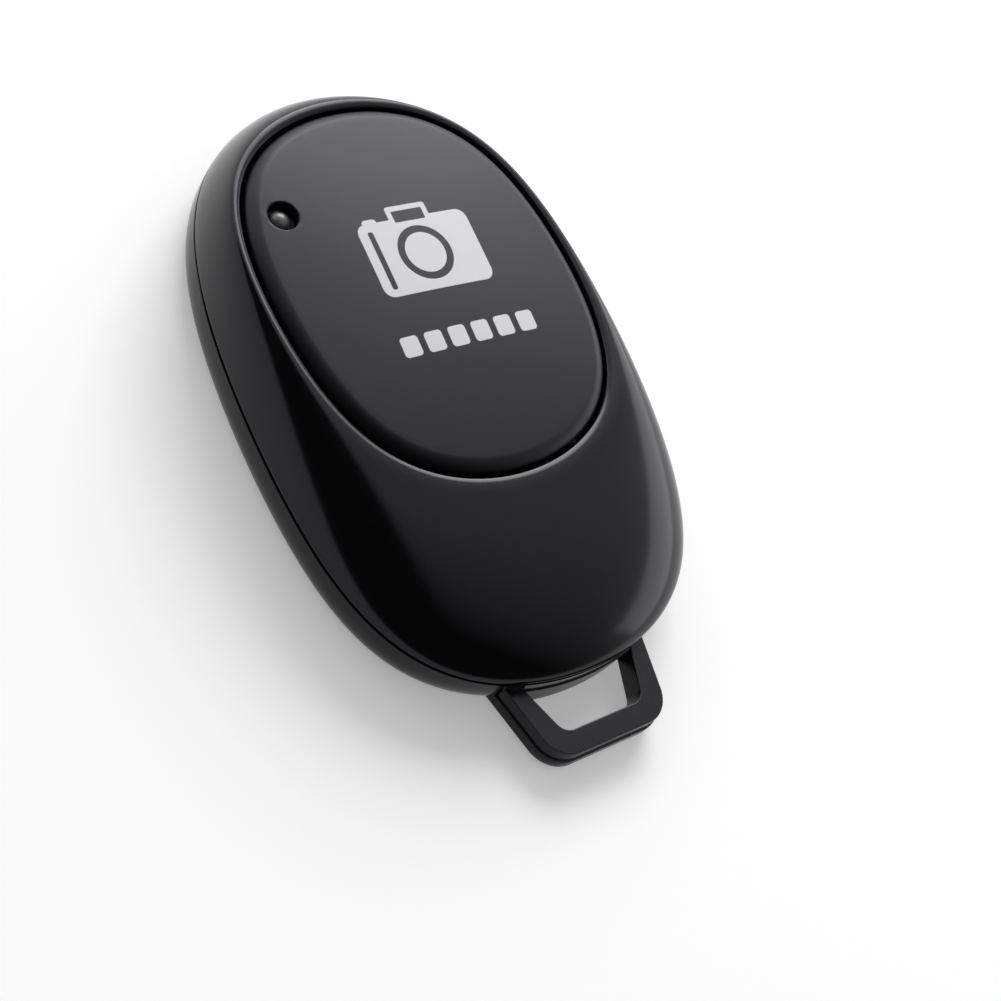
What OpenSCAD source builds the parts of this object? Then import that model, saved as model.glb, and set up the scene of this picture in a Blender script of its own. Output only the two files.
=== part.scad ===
// Egg-shaped one-key camera shutter remote with a coin-cell compartment and a lanyard loop.
// Millimetres. +X is right, +Y points to the end with the lamp, +Z comes out of the key.
// The remote lies on its flat back, at z = 0. The origin is under the middle of its length, loop and all.

/* [Body] */
// Length of the body, without the loop
body_l = 48; // [46.5:0.1:50]
// Width of the body
body_w = 32.2; // [31:0.1:34]
// Height of the line where the two shells meet
seam_z = 3.6; // [3.4:0.05:3.8]
// How far the line of the crest falls from the middle of the body to its ends
crown_drop = 0.3; // [0:0.05:0.5]
// How far the flat back lies inside the widest outline
back_inset = 1.9; // [1.6:0.05:2.2]
// Wall of both shells
wall = 1.5; // [1.4:0.05:1.7]
// Floor of the rear shell
floor_t = 1.3; // [1.25:0.05:1.5]

/* [Key opening] */
// How far the crest lies inside the body's sides
crest_in = 2.4; // [2.2:0.05:2.8]
// Length of the opening, crest to crest
opening_l = 32.2; // [30:0.1:33]
// From the opening to the lamp end of the body
opening_margin = 2.55; // [2.3:0.05:3]
// Width of the bevel inside the crest
bevel_w = 0.65; // [0.4:0.05:0.8]
// Depth of the bevel
bevel_drop = 0.35; // [0.2:0.05:0.5]
// Thickness of the lip that holds the key in
lip_t = 1.35; // [1.2:0.05:1.45]
// How far the hollow under the lip reaches past the opening's wall
lip_reach = 0.6; // [0.55:0.05:0.7]
// Thinnest wall beside that hollow
edge_wall = 0.55; // [0.5:0.05:0.7]

/* [Key] */
// Gap round the key
key_gap = 0.3; // [0.2:0.05:0.4]
// How far the key's edge stands above the crest
key_rise = 0.4; // [0.3:0.05:0.6]
// Crown of the key's face
key_dome = 0.6; // [0.3:0.05:0.8]
// Rounding of the key's edge
key_edge_r = 0.5; // [0.3:0.05:0.7]
// Thickness of the key's face at its edge
key_plate_t = 0.8; // [0.75:0.05:0.95]
// Thickness of the key's skirt
key_skirt_t = 0.9; // [0.7:0.05:1.1]
// How far the key's hooks reach under the lip
hook_reach = 0.35; // [0.3:0.01:0.4]
// Thickness of a hook
hook_t = 0.55; // [0.45:0.05:0.6]
// Width of a hook
hook_w = 6; // [4:0.5:7]
// Height of the nib that presses the switch
nib_h = 0.2; // [0.15:0.05:0.4]
// Travel of the key
key_travel = 0.25; // [0.2:0.01:0.3]
// Radius of the lamp well
well_r = 1.15; // [1:0.05:1.3]
// Depth of the lamp well
well_depth = 0.55; // [0.4:0.05:0.6]
// Direction of the lamp well on the key, in degrees from +X
well_turn = 142.5; // [135:0.5:150]
// Room between the key's skirt and the light guide's foot
well_margin = 0.45; // [0.4:0.05:0.8]
// Radius of the light guide
guide_r = 0.75; // [0.6:0.05:0.85]

/* [Seam] */
// Open groove between the two shells
groove = 0.25; // [0.15:0.05:0.3]
// Skin of the front shell outside the tongue
skin = 0.68; // [0.6:0.02:0.7]
// Height of the rear shell's tongue
tongue_h = 0.85; // [0.75:0.05:0.95]
// Radius of the snap beads on the tongue
bead_r = 0.22; // [0.16:0.02:0.24]
// Length of a snap bead
bead_l = 3; // [2:0.1:4]
// Fitting gap between the shells
fit = 0.07; // [0.05:0.01:0.1]

/* [Lanyard loop] */
// How far the loop stands out past the body
loop_reach = 5.15; // [5:0.05:5.6]
// Width of the loop where it leaves the body
loop_root_w = 13.7; // [13:0.1:14.2]
// Width of the loop at its far end
loop_end_w = 11; // [10.4:0.1:11.4]
// Outer corner radius of the loop
loop_r = 2.6; // [1.8:0.1:2.8]
// Bar across the far end
loop_bar = 1.9; // [1.7:0.05:2.1]
// Width of the window at the body
window_root_w = 10.8; // [10:0.1:11.2]
// Width of the window at its far end
window_end_w = 7.4; // [7:0.1:8]
// Corner radius of the window
window_r = 1.2; // [1:0.1:1.4]
// Height of the loop's lower face
loop_z = 0.5; // [0.4:0.05:0.6]
// Thickness of the loop
loop_t = 2.05; // [1.8:0.05:2.2]
// Parting step round the loop
loop_step = 0.15; // [0.1:0.01:0.2]
// How far the web at the body's side of the window stands out past the body
web = 0.1; // [0.05:0.05:0.3]

/* [Battery cover] */
// How far the cover's rim reaches past its hub
cover_lip = 1.15; // [1:0.05:1.3]
// Thickness of the cover's disc
cover_t = 0.9; // [0.8:0.05:1]
// How far the cover's middle lies up the body from the body's middle
cover_y = 0.5; // [0:0.1:0.8]
// Width of the ring of the hub outside the cell
hub_margin = 0.45; // [0.4:0.05:0.6]
// How far the bayonet lugs stand out from the hub
lug_reach = 0.75; // [0.6:0.05:0.85]
// Height of a lug
lug_t = 0.5; // [0.4:0.05:0.55]
// Turn from closed to open
cover_turn = 45; // [30:1:50]
// Width of the coin slot
slot_w = 1.8; // [1.4:0.1:2.2]
// Length of the coin slot
slot_l = 13; // [10:0.5:16]
// Depth of the coin slot
slot_depth = 0.6; // [0.4:0.05:0.65]

/* [Coin cell] */
// Radius of the cell
cell_r = 10; // [9.95:0.05:10]
// Height of the cell
cell_h = 3.2; // [3.1:0.05:3.2]

/* [Board] */
// Thickness of the circuit board
board_t = 0.8; // [0.7:0.05:0.8]
// Room between the cell and the board
contact_room = 0.5; // [0.45:0.05:0.6]
// Gap between the board's edge and the front shell
board_gap = 0.4; // [0.3:0.05:0.6]
// Radius of a board screw's head
screw_head_r = 1.25; // [1.1:0.05:1.3]
// Height of a board screw's head
screw_head_h = 0.55; // [0.4:0.05:0.6]
// Radius of a board screw's shank
screw_r = 0.5; // [0.45:0.05:0.55]
// Length of a board screw's shank
screw_l = 3.6; // [3:0.1:3.8]
// From the lamp end of the body to the pair of screws
screw_in = 7.6; // [7:0.1:8]
// From the middle line to each screw of the pair
screw_side = 5.6; // [5:0.1:6]
// Room between the battery's cradle and the single screw's post
post_gap = 0.8; // [0.4:0.1:1.2]

/* [Tactile switch] */
// Side of the square switch
switch_w = 5.2; // [4.8:0.1:5.6]
// Height of the switch's body
switch_h = 1.3; // [1.2:0.05:1.5]
// Radius of the switch's plunger
plunger_r = 1; // [0.8:0.05:1.2]
// Height of the plunger's top above the body
plunger_h = 0.7; // [0.6:0.05:0.8]

/* [Hidden] */

// Points round each outline, and the shares that shape the two eggs
outline_points = 72;
body_shares = [-0.11, 0.275, -0.055];
opening_shares = [0, 0.22, 0];
front_power = 1.5;
back_power = 2.8;
// Heights at which the shells' sections are taken, as shares of their rise
front_shares = [0, 0.15, 0.32, 0.48, 0.62, 0.74, 0.84, 0.92, 0.97, 1];
roof_shares = [0, 0.2, 0.4, 0.6, 0.78, 0.91, 1];
back_section_shares = [1, 0.985, 0.94, 0.85, 0.7, 0.45, 0];
hollow_shares = [0, 0.5, 0.8, 0.95, 1];
dome_shares = [0.96, 0.86, 0.7, 0.48, 0.24];
$fn = 64;
over = 1;
run_gap = 0.05;
half_w_unit = max([for (p = egg(1, 1, 0, body_shares)) p[0]]);

// Places along the part: the middles of the body, the key and the battery cover
mid_y = loop_reach / 2;
key_y = mid_y + body_l / 2 - opening_margin - opening_l / 2;
hatch_y = mid_y + cover_y;

opening_w = body_w - 2 * crest_in;
seam_outline = egg(body_w / 2 / half_w_unit, body_l / 2, mid_y, body_shares);
crest_outline = egg(opening_w / 2, opening_l / 2, key_y, opening_shares);
bore_outline = inset(crest_outline, bevel_w);
key_outline = inset(bore_outline, key_gap);

// Round shapes of the battery cover, from the cell outwards
hub_r = cell_r + hub_margin;
lug_r = hub_r + lug_reach;
cover_r = hub_r + cover_lip;
recess_r = cover_r + 2 * run_gap;
throat_r = hub_r + 2 * run_gap;
notch_r = lug_r + 2 * run_gap;
lug_count = 3;
lug_arc = 30;
notch_arc = 38;
pad_r = 7.5;
pad_w = 0.8;

// Heights, from the back up: battery cover, cell, board, switch, key and crest
recess_z = cover_t + run_gap;
lug_z = floor_t + run_gap;
lug_top = lug_z + lug_t;
pad_top = lug_top + run_gap;
cell_z = pad_top + run_gap;
cell_top = cell_z + cell_h;
board_z = cell_top + contact_room;
board_top = board_z + board_t;
switch_top = board_top + switch_h;
plunger_top = switch_top + plunger_h;
nib_low = plunger_top + run_gap;
key_under = nib_low + nib_h;
key_edge_z = key_under + key_plate_t;
crest_z = key_edge_z - key_rise;
lip_z = crest_z - lip_t;
hook_top = lip_z - run_gap;
hook_low = hook_top - hook_t;
hook_turns = [90, 205, 270, 335];

// Heights of the seam
rim_z = seam_z - groove / 2;
front_rim_z = seam_z + groove / 2;
tongue_top = rim_z + tongue_h;
rabbet_z = tongue_top + run_gap;
tongue_inset = skin + fit;

can_t = 0.25;
can_bend = 0.35;
crimp_w = 0.75;
crimp_drop = 0.2;
gasket_t = 0.5;
gasket_drop = 0.65;
cap_lip_drop = 0.4;
cap_lip_w = 0.55;
cap_slope = 0.2;

cradle_r = lug_r + 5 * run_gap;
cradle_t = 0.85;
cradle_top = cell_top + run_gap;
rib_count = 4;
rib_w = 1.2;
rib_turn = 30;
rib_r = cell_r + 3 * run_gap;

board_clear = 0.3;
board_outline = inset(roof_ring((board_top + board_clear - rabbet_z) / (lip_z - rabbet_z)), board_gap);
post_r = 1.6;
post_hole_r = screw_r + run_gap;
screw_hole_r = screw_r + 3 * run_gap;
screw_far_y = mid_y + body_l / 2 - screw_in;
screw_near_y = hatch_y - cradle_r - cradle_t - post_gap - post_r;
screw_places = [[-screw_side, screw_far_y], [screw_side, screw_far_y], [0, screw_near_y]];
screw_slot_w = 0.3;
screw_slot_depth = 0.25;

switch_x = 0;
switch_y = key_y;
switch_base_h = 0.9;
switch_cover_t = 0.2;
switch_floor_t = 0.35;
dome_t = 0.1;
dome_rise = 0.3;
dome_steps = 8;
plunger_flange_w = 0.45;
plunger_flange_t = 0.25;
pocket_margin = 0.3;
well_pocket_r = plunger_r + plunger_flange_w + pocket_margin;
terminal_w = 0.6;
terminal_t = 0.15;
terminal_l = 1;
terminal_pitch = 3.6;

// The lamp well and the light guide in it, kept clear of the key's skirt
nib_r = 1.6;
guide_top = key_edge_z - well_depth + guide_r / 2;
guide_tail = 1.1;
guide_low = key_under - guide_tail;
guide_lap = 0.35;
guide_head_r = guide_r + guide_lap;
guide_head_t = 0.4;
well_in = bevel_w + key_gap + key_skirt_t + well_margin + guide_head_r;
well_place = egg_point(opening_w / 2 - well_in, opening_l / 2 - well_in, key_y, opening_shares, well_turn);

led_l = 1.6;
led_w = 0.8;
led_h = 0.6;
led_lens_r = 0.35;
chip_w = 4;
chip_h = 0.75;
chip_place = [6.2, -3.4];
chip_pads = 6;
chip_pad_w = 0.25;
chip_pad_t = 0.12;
crystal_size = [3.2, 2.5, 0.7];
crystal_lid = 0.25;
crystal_place = [1.2, -6.2];
cap_size = [1, 0.5, 0.5];
cap_places = [[8.4, 0.4], [6.8, 0.4], [5.2, 0.4], [2.6, -1.6], [2.6, -2.9], [-2.4, -3.4], [-2.4, -4.9]];
res_size = [1, 0.5, 0.32];
led_res_gap = 1.35;
led_res_side = 0.5;
end_share = 0.25;
inductor_size = [1.6, 0.8, 0.6];
trace_w = 0.5;
trace_t = 0.07;
trace_pitch = 1.1;
trace_runs = 6;
trace_run_l = 3.2;
trace_in = 5.8;
trace_place = [trace_in - body_w / 2, -6.2];
trace_side = trace_place[0] + trace_run_l;
inductor_reach = 1.9;
res_reach = 2.9;
inductor_place = [trace_side + inductor_reach, -7.2];
// The lamp's resistor follows the lamp, two follow the antenna and two stand by the chip
res_places = [
    [well_place[0] + led_l / 2 + led_res_gap + res_size[0] / 2, well_place[1] - mid_y + led_res_side],
    [trace_side + res_reach, -0.6],
    [trace_side + res_reach, -1.9],
    [4.4, -8.4],
    [6.2, -8.4]
];

contact_t = 0.15;
negative_plate = [7, 9];
finger_w = 1.6;
finger_l = 3.6;
finger_gap = 3.2;
positive_w = 3.6;
positive_drop = 2.3;
positive_low = cell_top - positive_drop;

// A point of an egg: half width w, half length h, middle at yc, at an angle round it
function egg_point(w, h, yc, shares, a) = let (s = sin(a), c = cos(a))
    [w * c * (1 + shares[0] * s + shares[1] * s * s + shares[2] * s * s * s), yc + h * s];

function egg(w, h, yc, shares) =
    [for (i = [0 : outline_points - 1]) egg_point(w, h, yc, shares, 360 * i / outline_points)];

// The direction of an outline at one of its points
function heading(pts, i) = let (n = len(pts), t = pts[(i + 1) % n] - pts[(i + n - 1) % n])
    [t[0], t[1]] / norm([t[0], t[1]]);

// An outline moved inwards by d, square to itself
function inset(pts, d) = [for (i = [0 : len(pts) - 1]) let (u = heading(pts, i))
    [pts[i][0] - d * u[1], pts[i][1] + d * u[0]]];

function lift(pts, z) = [for (p = pts) [p[0], p[1], z]];

// How far the crest and the key lie below their highest line, at a place along the body
function crown(y) = crown_drop * pow((y - mid_y) / (body_l / 2), 2);

function lift_crowned(pts, z) = [for (p = pts) [p[0], p[1], z - crown(p[1])]];

// How far a rounded side has come in at a share of its rise
function side_share(v, power) = 1 - pow(1 - pow(v, power), 1 / power);

// A section between a low and a high ring, at a share v of the rise
function section(low, high, v, power) = let (h = side_share(v, power))
    [for (i = [0 : len(low) - 1]) [
        low[i][0] * (1 - h) + high[i][0] * h,
        low[i][1] * (1 - h) + high[i][1] * h,
        low[i][2] * (1 - v) + high[i][2] * v]];

// The outer skin of the front shell, from its rim up to the crest
function skin_ring(v) = section(
    lift(seam_outline, front_rim_z), lift_crowned(crest_outline, crest_z), v, front_power);

// The edge of the hollow under the lip: past the opening's wall, but edge_wall clear of the skin
function lip_hollow() = let (skin_at = skin_ring((lip_z - front_rim_z) / (crest_z - front_rim_z)))
    [for (i = [0 : outline_points - 1]) let (
        p = bore_outline[i], u = heading(bore_outline, i),
        room = norm([skin_at[i][0] - p[0], skin_at[i][1] - p[1]]) - edge_wall,
        d = min(lip_reach, room))
        [p[0] + d * u[1], p[1] - d * u[0], lip_z]];

// The hollow of the front shell, from its rabbet up to the lip
function roof_ring(v) = section(lift(inset(seam_outline, wall), rabbet_z), lip_hollow(), v, front_power);

// A point of the switch's dome: a cap of a ball, raised by t
function cap_point(x, ball_r, t) = [x, sqrt(ball_r * ball_r - x * x) - ball_r + dome_rise + t];

// A polygon's corners rounded by arcs
function rounded(pts, radii, steps) = [for (i = [0 : len(pts) - 1]) let (
    n = len(pts), p = pts[i],
    a = pts[(i + n - 1) % n] - p, b = pts[(i + 1) % n] - p,
    u = a / norm(a), v = b / norm(b),
    half = acos(u * v) / 2,
    centre = p + (u + v) / norm(u + v) * radii[i] / sin(half),
    start = p + u * radii[i] / tan(half) - centre,
    end = p + v * radii[i] / tan(half) - centre,
    from = atan2(start[1], start[0]),
    turn = atan2(end[1], end[0]) - from,
    sweep = turn > 180 ? turn - 360 : turn < -180 ? turn + 360 : turn)
    each [for (k = [0 : steps]) let (a = from + sweep * k / steps) centre + radii[i] * [cos(a), sin(a)]]];

// Triangles between rings of n points, in order
function skin_faces(n, first, second) = [for (i = [0 : n - 1]) let (j = (i + 1) % n)
    each [[first + i, second + i, second + j], [first + i, second + j, first + j]]];

// A solid through rings: capped at both ends, or closed on itself as a frame is
module loft(rings, frame = false) {
    n = len(rings[0]);
    last = len(rings) - 1;
    sides = [for (k = [0 : last - 1]) each skin_faces(n, k * n, (k + 1) * n)];
    ends = frame
        ? skin_faces(n, last * n, 0)
        : [[for (i = [0 : n - 1]) i], [for (i = [0 : n - 1]) last * n + n - 1 - i]];
    polyhedron(points = [for (r = rings) each r], faces = concat(sides, ends), convexity = 6);
}

module ring(outer, inner, h) {
    difference() {
        cylinder(r = outer, h = h);
        translate([0, 0, -over]) cylinder(r = inner, h = h + 2 * over);
    }
}

// Round bars on the tongue, which snap into the same bars cut from the front shell
module snap_bars(r, l) {
    track = inset(seam_outline, tongue_inset);
    for (i = [3, 15, 21, 33, 42, 66]) {
        u = heading(track, i);
        translate([track[i][0], track[i][1], (front_rim_z + tongue_top) / 2])
            rotate([0, 0, atan2(u[1], u[0])])
            rotate([0, 90, 0])
            translate([0, 0, -l / 2])
            cylinder(r = r, h = l, $fn = 24);
    }
}

module front_shell() {
    color("#17171a")
    difference() {
        loft(concat(
            [for (v = front_shares) skin_ring(v)],
            [lift_crowned(inset(crest_outline, bevel_w / 3), crest_z - bevel_drop / 8)],
            [lift_crowned(bore_outline, crest_z - bevel_drop)],
            [lift(bore_outline, lip_z)],
            [for (k = [len(roof_shares) - 1 : -1 : 0]) roof_ring(roof_shares[k])],
            [lift(inset(seam_outline, skin), rabbet_z)],
            [lift(inset(seam_outline, skin), front_rim_z)]), frame = true);
        snap_bars(bead_r + fit, bead_l + 2 * fit);
        // Room for the screw heads, wherever the roof of the hollow comes down to them
        for (p = screw_places)
            translate([p[0], p[1], board_top])
                cylinder(r = screw_head_r + run_gap, h = screw_head_h + run_gap, $fn = 32);
    }
}

module key_cap() {
    skirt_inner = inset(key_outline, key_skirt_t);
    edge = inset(key_outline, key_edge_r);
    boss_low = guide_low + guide_head_t;
    boss_top = key_under + key_plate_t / 2;
    dome_rings = [for (share = dome_shares) [for (p = edge) let (
        x = p[0] * share, y = key_y + (p[1] - key_y) * share)
        [x, y, key_edge_z + key_dome * (1 - share * share) - crown(y)]]];
    edge_rings = [for (a = [0, 30, 60, 90]) lift_crowned(
        inset(key_outline, key_edge_r * (1 - cos(a))), key_edge_z - key_edge_r * (1 - sin(a)))];
    color("#4a494f")
    difference() {
        union() {
            loft(concat(
                [lift(skirt_inner, key_under), lift(skirt_inner, hook_low), lift(key_outline, hook_low)],
                edge_rings, dome_rings));
            translate([0, 0, hook_low])
                linear_extrude(hook_t)
                intersection() {
                    difference() {
                        polygon(inset(bore_outline, -hook_reach));
                        polygon(inset(key_outline, key_skirt_t / 2));
                    }
                    for (turn = hook_turns)
                        translate([0, key_y]) rotate(turn)
                            translate([0, -hook_w / 2]) square([opening_l, hook_w]);
                }
            translate([switch_x, switch_y, nib_low]) cylinder(r = nib_r, h = boss_top - nib_low);
            translate([well_place[0], well_place[1], boss_low])
                cylinder(r = well_r + key_skirt_t / 2, h = boss_top - boss_low);
        }
        translate([well_place[0], well_place[1], key_edge_z - well_depth])
            cylinder(r = well_r, h = well_depth + over);
        translate([well_place[0], well_place[1], boss_low - over])
            cylinder(r = guide_r + run_gap, h = key_edge_z - boss_low + over);
    }
}

module light_guide() {
    color("#b9bcc0", 0.8)
    translate([well_place[0], well_place[1], 0]) {
        translate([0, 0, guide_low]) cylinder(r = guide_r, h = guide_top - guide_r / 2 - guide_low);
        translate([0, 0, guide_low]) cylinder(r = guide_head_r, h = guide_head_t);
        translate([0, 0, guide_top - guide_r / 2])
            rotate_extrude()
            intersection() {
                square([guide_r, guide_r]);
                translate([0, -guide_r * 3 / 4]) circle(r = guide_r * 5 / 4);
            }
    }
}

// The loop in plan: a trapezoid that narrows away from the body, set in by d
module loop_plan(d) {
    far = body_l / 2 + loop_reach - d - mid_y;
    root = body_l / 2 - wall - mid_y;
    polygon(rounded([
        [-loop_root_w / 2 + d, -root], [-loop_end_w / 2 + d, -far],
        [loop_end_w / 2 - d, -far], [loop_root_w / 2 - d, -root]],
        [loop_step, loop_r, loop_r, loop_step], 8));
}

// The window through the loop, run back to the web at the body's outline
module window_plan() {
    far = body_l / 2 + loop_reach - loop_bar - mid_y;
    root = body_l / 2 - wall - mid_y;
    difference() {
        polygon(rounded([
            [-window_root_w / 2, -root], [-window_end_w / 2, -far],
            [window_end_w / 2, -far], [window_root_w / 2, -root]],
            [loop_step, window_r, window_r, loop_step], 8));
        polygon(inset(seam_outline, -web));
    }
}

module bayonet_sectors(r, arc, turn, h) {
    for (k = [0 : lug_count - 1])
        rotate([0, 0, turn + k * 360 / lug_count - arc / 2])
            rotate_extrude(angle = arc)
            translate([hub_r / 2, 0])
            square([r - hub_r / 2, h]);
}

module rear_shell() {
    hollow = inset(seam_outline, wall);
    color("#1b1b1e")
    difference() {
        union() {
            loft(concat(
                [for (v = back_section_shares)
                    lift(inset(seam_outline, back_inset * side_share(v, back_power)), rim_z * (1 - v))],
                [lift(inset(seam_outline, tongue_inset), rim_z)],
                [lift(inset(seam_outline, tongue_inset), tongue_top)],
                [lift(hollow, tongue_top)],
                [for (v = hollow_shares)
                    lift(inset(hollow, (back_inset - floor_t / 2) * side_share(v, back_power)),
                        rim_z - (rim_z - floor_t) * v)]));
            snap_bars(bead_r, bead_l);
            translate([0, 0, loop_z]) linear_extrude(loop_t * 0.45) loop_plan(0);
            translate([0, 0, loop_z]) linear_extrude(loop_t) loop_plan(loop_step);
            translate([0, hatch_y, floor_t - floor_t / 2]) {
                ring(cradle_r + cradle_t, cradle_r, cradle_top - floor_t / 2);
                for (k = [0 : rib_count - 1])
                    rotate([0, 0, rib_turn + k * 360 / rib_count])
                        translate([rib_r, -rib_w / 2, lug_top + run_gap - floor_t / 2])
                        cube([cradle_r + cradle_t / 2 - rib_r, rib_w, cradle_top - lug_top - run_gap]);
            }
            for (p = screw_places)
                translate([p[0], p[1], floor_t / 2])
                cylinder(r = post_r, h = board_z - floor_t / 2, $fn = 40);
        }
        translate([0, hatch_y, -over]) {
            cylinder(r = recess_r, h = recess_z + over);
            cylinder(r = throat_r, h = floor_t + 2 * over);
            bayonet_sectors(notch_r, notch_arc, -cover_turn, floor_t + over + run_gap);
        }
        for (p = screw_places)
            translate([p[0], p[1], board_z - screw_l])
            cylinder(r = post_hole_r, h = screw_l + over, $fn = 32);
        translate([0, 0, -over]) linear_extrude(rim_z + over) window_plan();
    }
}

module battery_cover() {
    color("#1d1d20")
    translate([0, hatch_y, 0])
    difference() {
        union() {
            translate([0, 0, run_gap]) cylinder(r = cover_r, h = cover_t - run_gap);
            cylinder(r = hub_r, h = lug_top - run_gap);
            translate([0, 0, lug_z]) bayonet_sectors(lug_r, lug_arc, 0, lug_t);
            translate([0, 0, lug_z]) ring(pad_r + pad_w, pad_r, pad_top - lug_z);
        }
        translate([0, 0, -over]) ring(cover_r + over, hub_r, over + run_gap);
        translate([-slot_l / 2, -slot_w / 2, -over]) cube([slot_l, slot_w, slot_depth + over]);
    }
}

module cell_can() {
    bend = can_bend;
    crimp_r = cell_r - crimp_w;
    crimp_z = cell_h - crimp_drop;
    color("#c3c5c8")
    translate([0, hatch_y, cell_z])
    rotate_extrude()
    polygon(concat(
        [[0, 0]],
        [for (a = [-90 : 15 : 0]) [cell_r - bend + bend * cos(a), bend + bend * sin(a)]],
        [[cell_r, crimp_z - bend], [cell_r - bend / 2, crimp_z], [crimp_r, crimp_z]],
        [[crimp_r, crimp_z - can_t], [cell_r - can_t - bend / 2, crimp_z - can_t]],
        [[cell_r - can_t, crimp_z - can_t - bend], [cell_r - can_t, can_t], [0, can_t]]));
}

module cell_gasket() {
    color("#8d9196")
    translate([0, hatch_y, cell_z + can_t])
    ring(cell_r - can_t - run_gap, cell_r - can_t - run_gap - gasket_t, cell_h - can_t - gasket_drop);
}

module cell_cap() {
    cap_r = cell_r - can_t - gasket_t - 2 * run_gap;
    top = cell_h - can_t;
    color("#b4b7ba")
    translate([0, hatch_y, cell_z + can_t])
    rotate_extrude()
    polygon([
        [0, 0], [cap_r, 0], [cap_r, top - gasket_drop], [cap_r - cap_lip_w, top - cap_lip_drop],
        [cap_r - cap_lip_w - cap_slope, top], [0, top]]);
}

module negative_contact() {
    under = board_z - contact_t;
    drop = under - cell_top - run_gap;
    finger_bend = finger_l * 0.75;
    color("#c9b676")
    translate([0, hatch_y, 0]) {
        translate([-negative_plate[0] / 2, -negative_plate[1] / 2, under])
            cube([negative_plate[0], negative_plate[1], contact_t]);
        for (side = [-1, 1])
            translate([negative_plate[0] / 2 - contact_t, side * finger_gap + finger_w / 2, under])
            rotate([90, 0, 0])
            linear_extrude(finger_w)
            polygon([
                [0, contact_t], [0, 0], [finger_bend, -drop], [finger_l, contact_t - drop],
                [finger_l, 2 * contact_t - drop], [finger_bend, contact_t - drop], [contact_t, contact_t]]);
    }
}

module positive_contact() {
    leg_x = cell_r + run_gap;
    foot_l = 1;
    color("#c9b676")
    translate([0, hatch_y + positive_w / 2, 0])
    rotate([90, 0, 0])
    linear_extrude(positive_w)
    polygon([
        [leg_x + foot_l, board_z], [leg_x + foot_l, board_z - contact_t],
        [leg_x + 2 * contact_t, board_z - contact_t], [leg_x + contact_t, cell_z + cell_h * 0.6],
        [leg_x + 2.5 * contact_t, positive_low], [leg_x + 1.5 * contact_t, positive_low],
        [leg_x, cell_z + cell_h * 0.6], [leg_x + contact_t, board_z - contact_t],
        [leg_x + contact_t, board_z]]);
}

module circuit_board() {
    color("#1f5b3a")
    translate([0, 0, board_z])
    difference() {
        linear_extrude(board_t) polygon(board_outline);
        for (p = screw_places)
            translate([p[0], p[1], -over]) cylinder(r = screw_hole_r, h = board_t + 2 * over, $fn = 32);
    }
}

module board_screws() {
    color("#8f9296")
    for (p = screw_places)
        translate([p[0], p[1], board_top])
        difference() {
            union() {
                cylinder(r = screw_head_r, h = screw_head_h, $fn = 32);
                translate([0, 0, -board_t - screw_l + 2 * run_gap])
                    cylinder(r = screw_r, h = board_t + screw_l, $fn = 24);
            }
            for (turn = [0, 90])
                rotate([0, 0, turn])
                translate([-screw_head_r * 0.6, -screw_slot_w / 2, screw_head_h - screw_slot_depth])
                cube([screw_head_r * 1.2, screw_slot_w, screw_slot_depth + over]);
        }
}

module switch_base() {
    color("#2a2a2c")
    translate([switch_x, switch_y, board_top])
    difference() {
        translate([-switch_w / 2, -switch_w / 2, 0]) cube([switch_w, switch_w, switch_h - switch_cover_t]);
        translate([0, 0, switch_floor_t]) cylinder(r = well_pocket_r, h = switch_h);
    }
}

module switch_terminals() {
    color("#c8c8c8")
    translate([switch_x, switch_y, board_top])
    for (side = [-1, 1], row = [-1, 1])
        translate([
            side * (switch_w / 2 + terminal_l / 2) - terminal_l / 2,
            row * terminal_pitch / 2 - terminal_w / 2, 0])
        union() {
            cube([terminal_l, terminal_w, terminal_t]);
            translate([side > 0 ? 0 : terminal_l - terminal_t, 0, 0])
                cube([terminal_t, terminal_w, switch_base_h / 2]);
        }
}

module switch_dome() {
    rim_r = well_pocket_r - run_gap;
    ball_r = (rim_r * rim_r + dome_rise * dome_rise) / (2 * dome_rise);
    color("#c9a24a")
    translate([switch_x, switch_y, board_top + switch_floor_t])
    rotate_extrude()
    polygon(concat(
        [for (k = [0 : dome_steps]) cap_point(rim_r * k / dome_steps, ball_r, dome_t)],
        [for (k = [dome_steps : -1 : 0]) cap_point(rim_r * k / dome_steps, ball_r, 0)]));
}

module switch_plunger() {
    seat = board_top + switch_floor_t + dome_rise + dome_t + run_gap;
    color("#e9e6dc")
    translate([switch_x, switch_y, 0]) {
        translate([0, 0, seat]) cylinder(r = plunger_r + plunger_flange_w, h = plunger_flange_t);
        translate([0, 0, seat]) cylinder(r = plunger_r, h = plunger_top - seat);
    }
}

module switch_cover() {
    tab_w = 1.2;
    color("#d2d4d6")
    translate([switch_x, switch_y, switch_top - switch_cover_t])
    difference() {
        union() {
            translate([-switch_w / 2, -switch_w / 2, 0]) cube([switch_w, switch_w, switch_cover_t]);
            for (side = [-1, 1])
                translate([-tab_w / 2, side > 0 ? switch_w / 2 : -switch_w / 2 - terminal_t, -switch_base_h])
                cube([tab_w, terminal_t, switch_base_h + switch_cover_t]);
        }
        translate([0, 0, -over]) cylinder(r = plunger_r + 2 * run_gap, h = 2 * over);
    }
}

module status_led() {
    color("#dfe6ea")
    translate([well_place[0], well_place[1], board_top]) {
        translate([-led_l / 2, -led_w / 2, 0]) cube([led_l, led_w, led_h / 2]);
        cylinder(r = led_lens_r, h = led_h, $fn = 32);
    }
}

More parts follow.
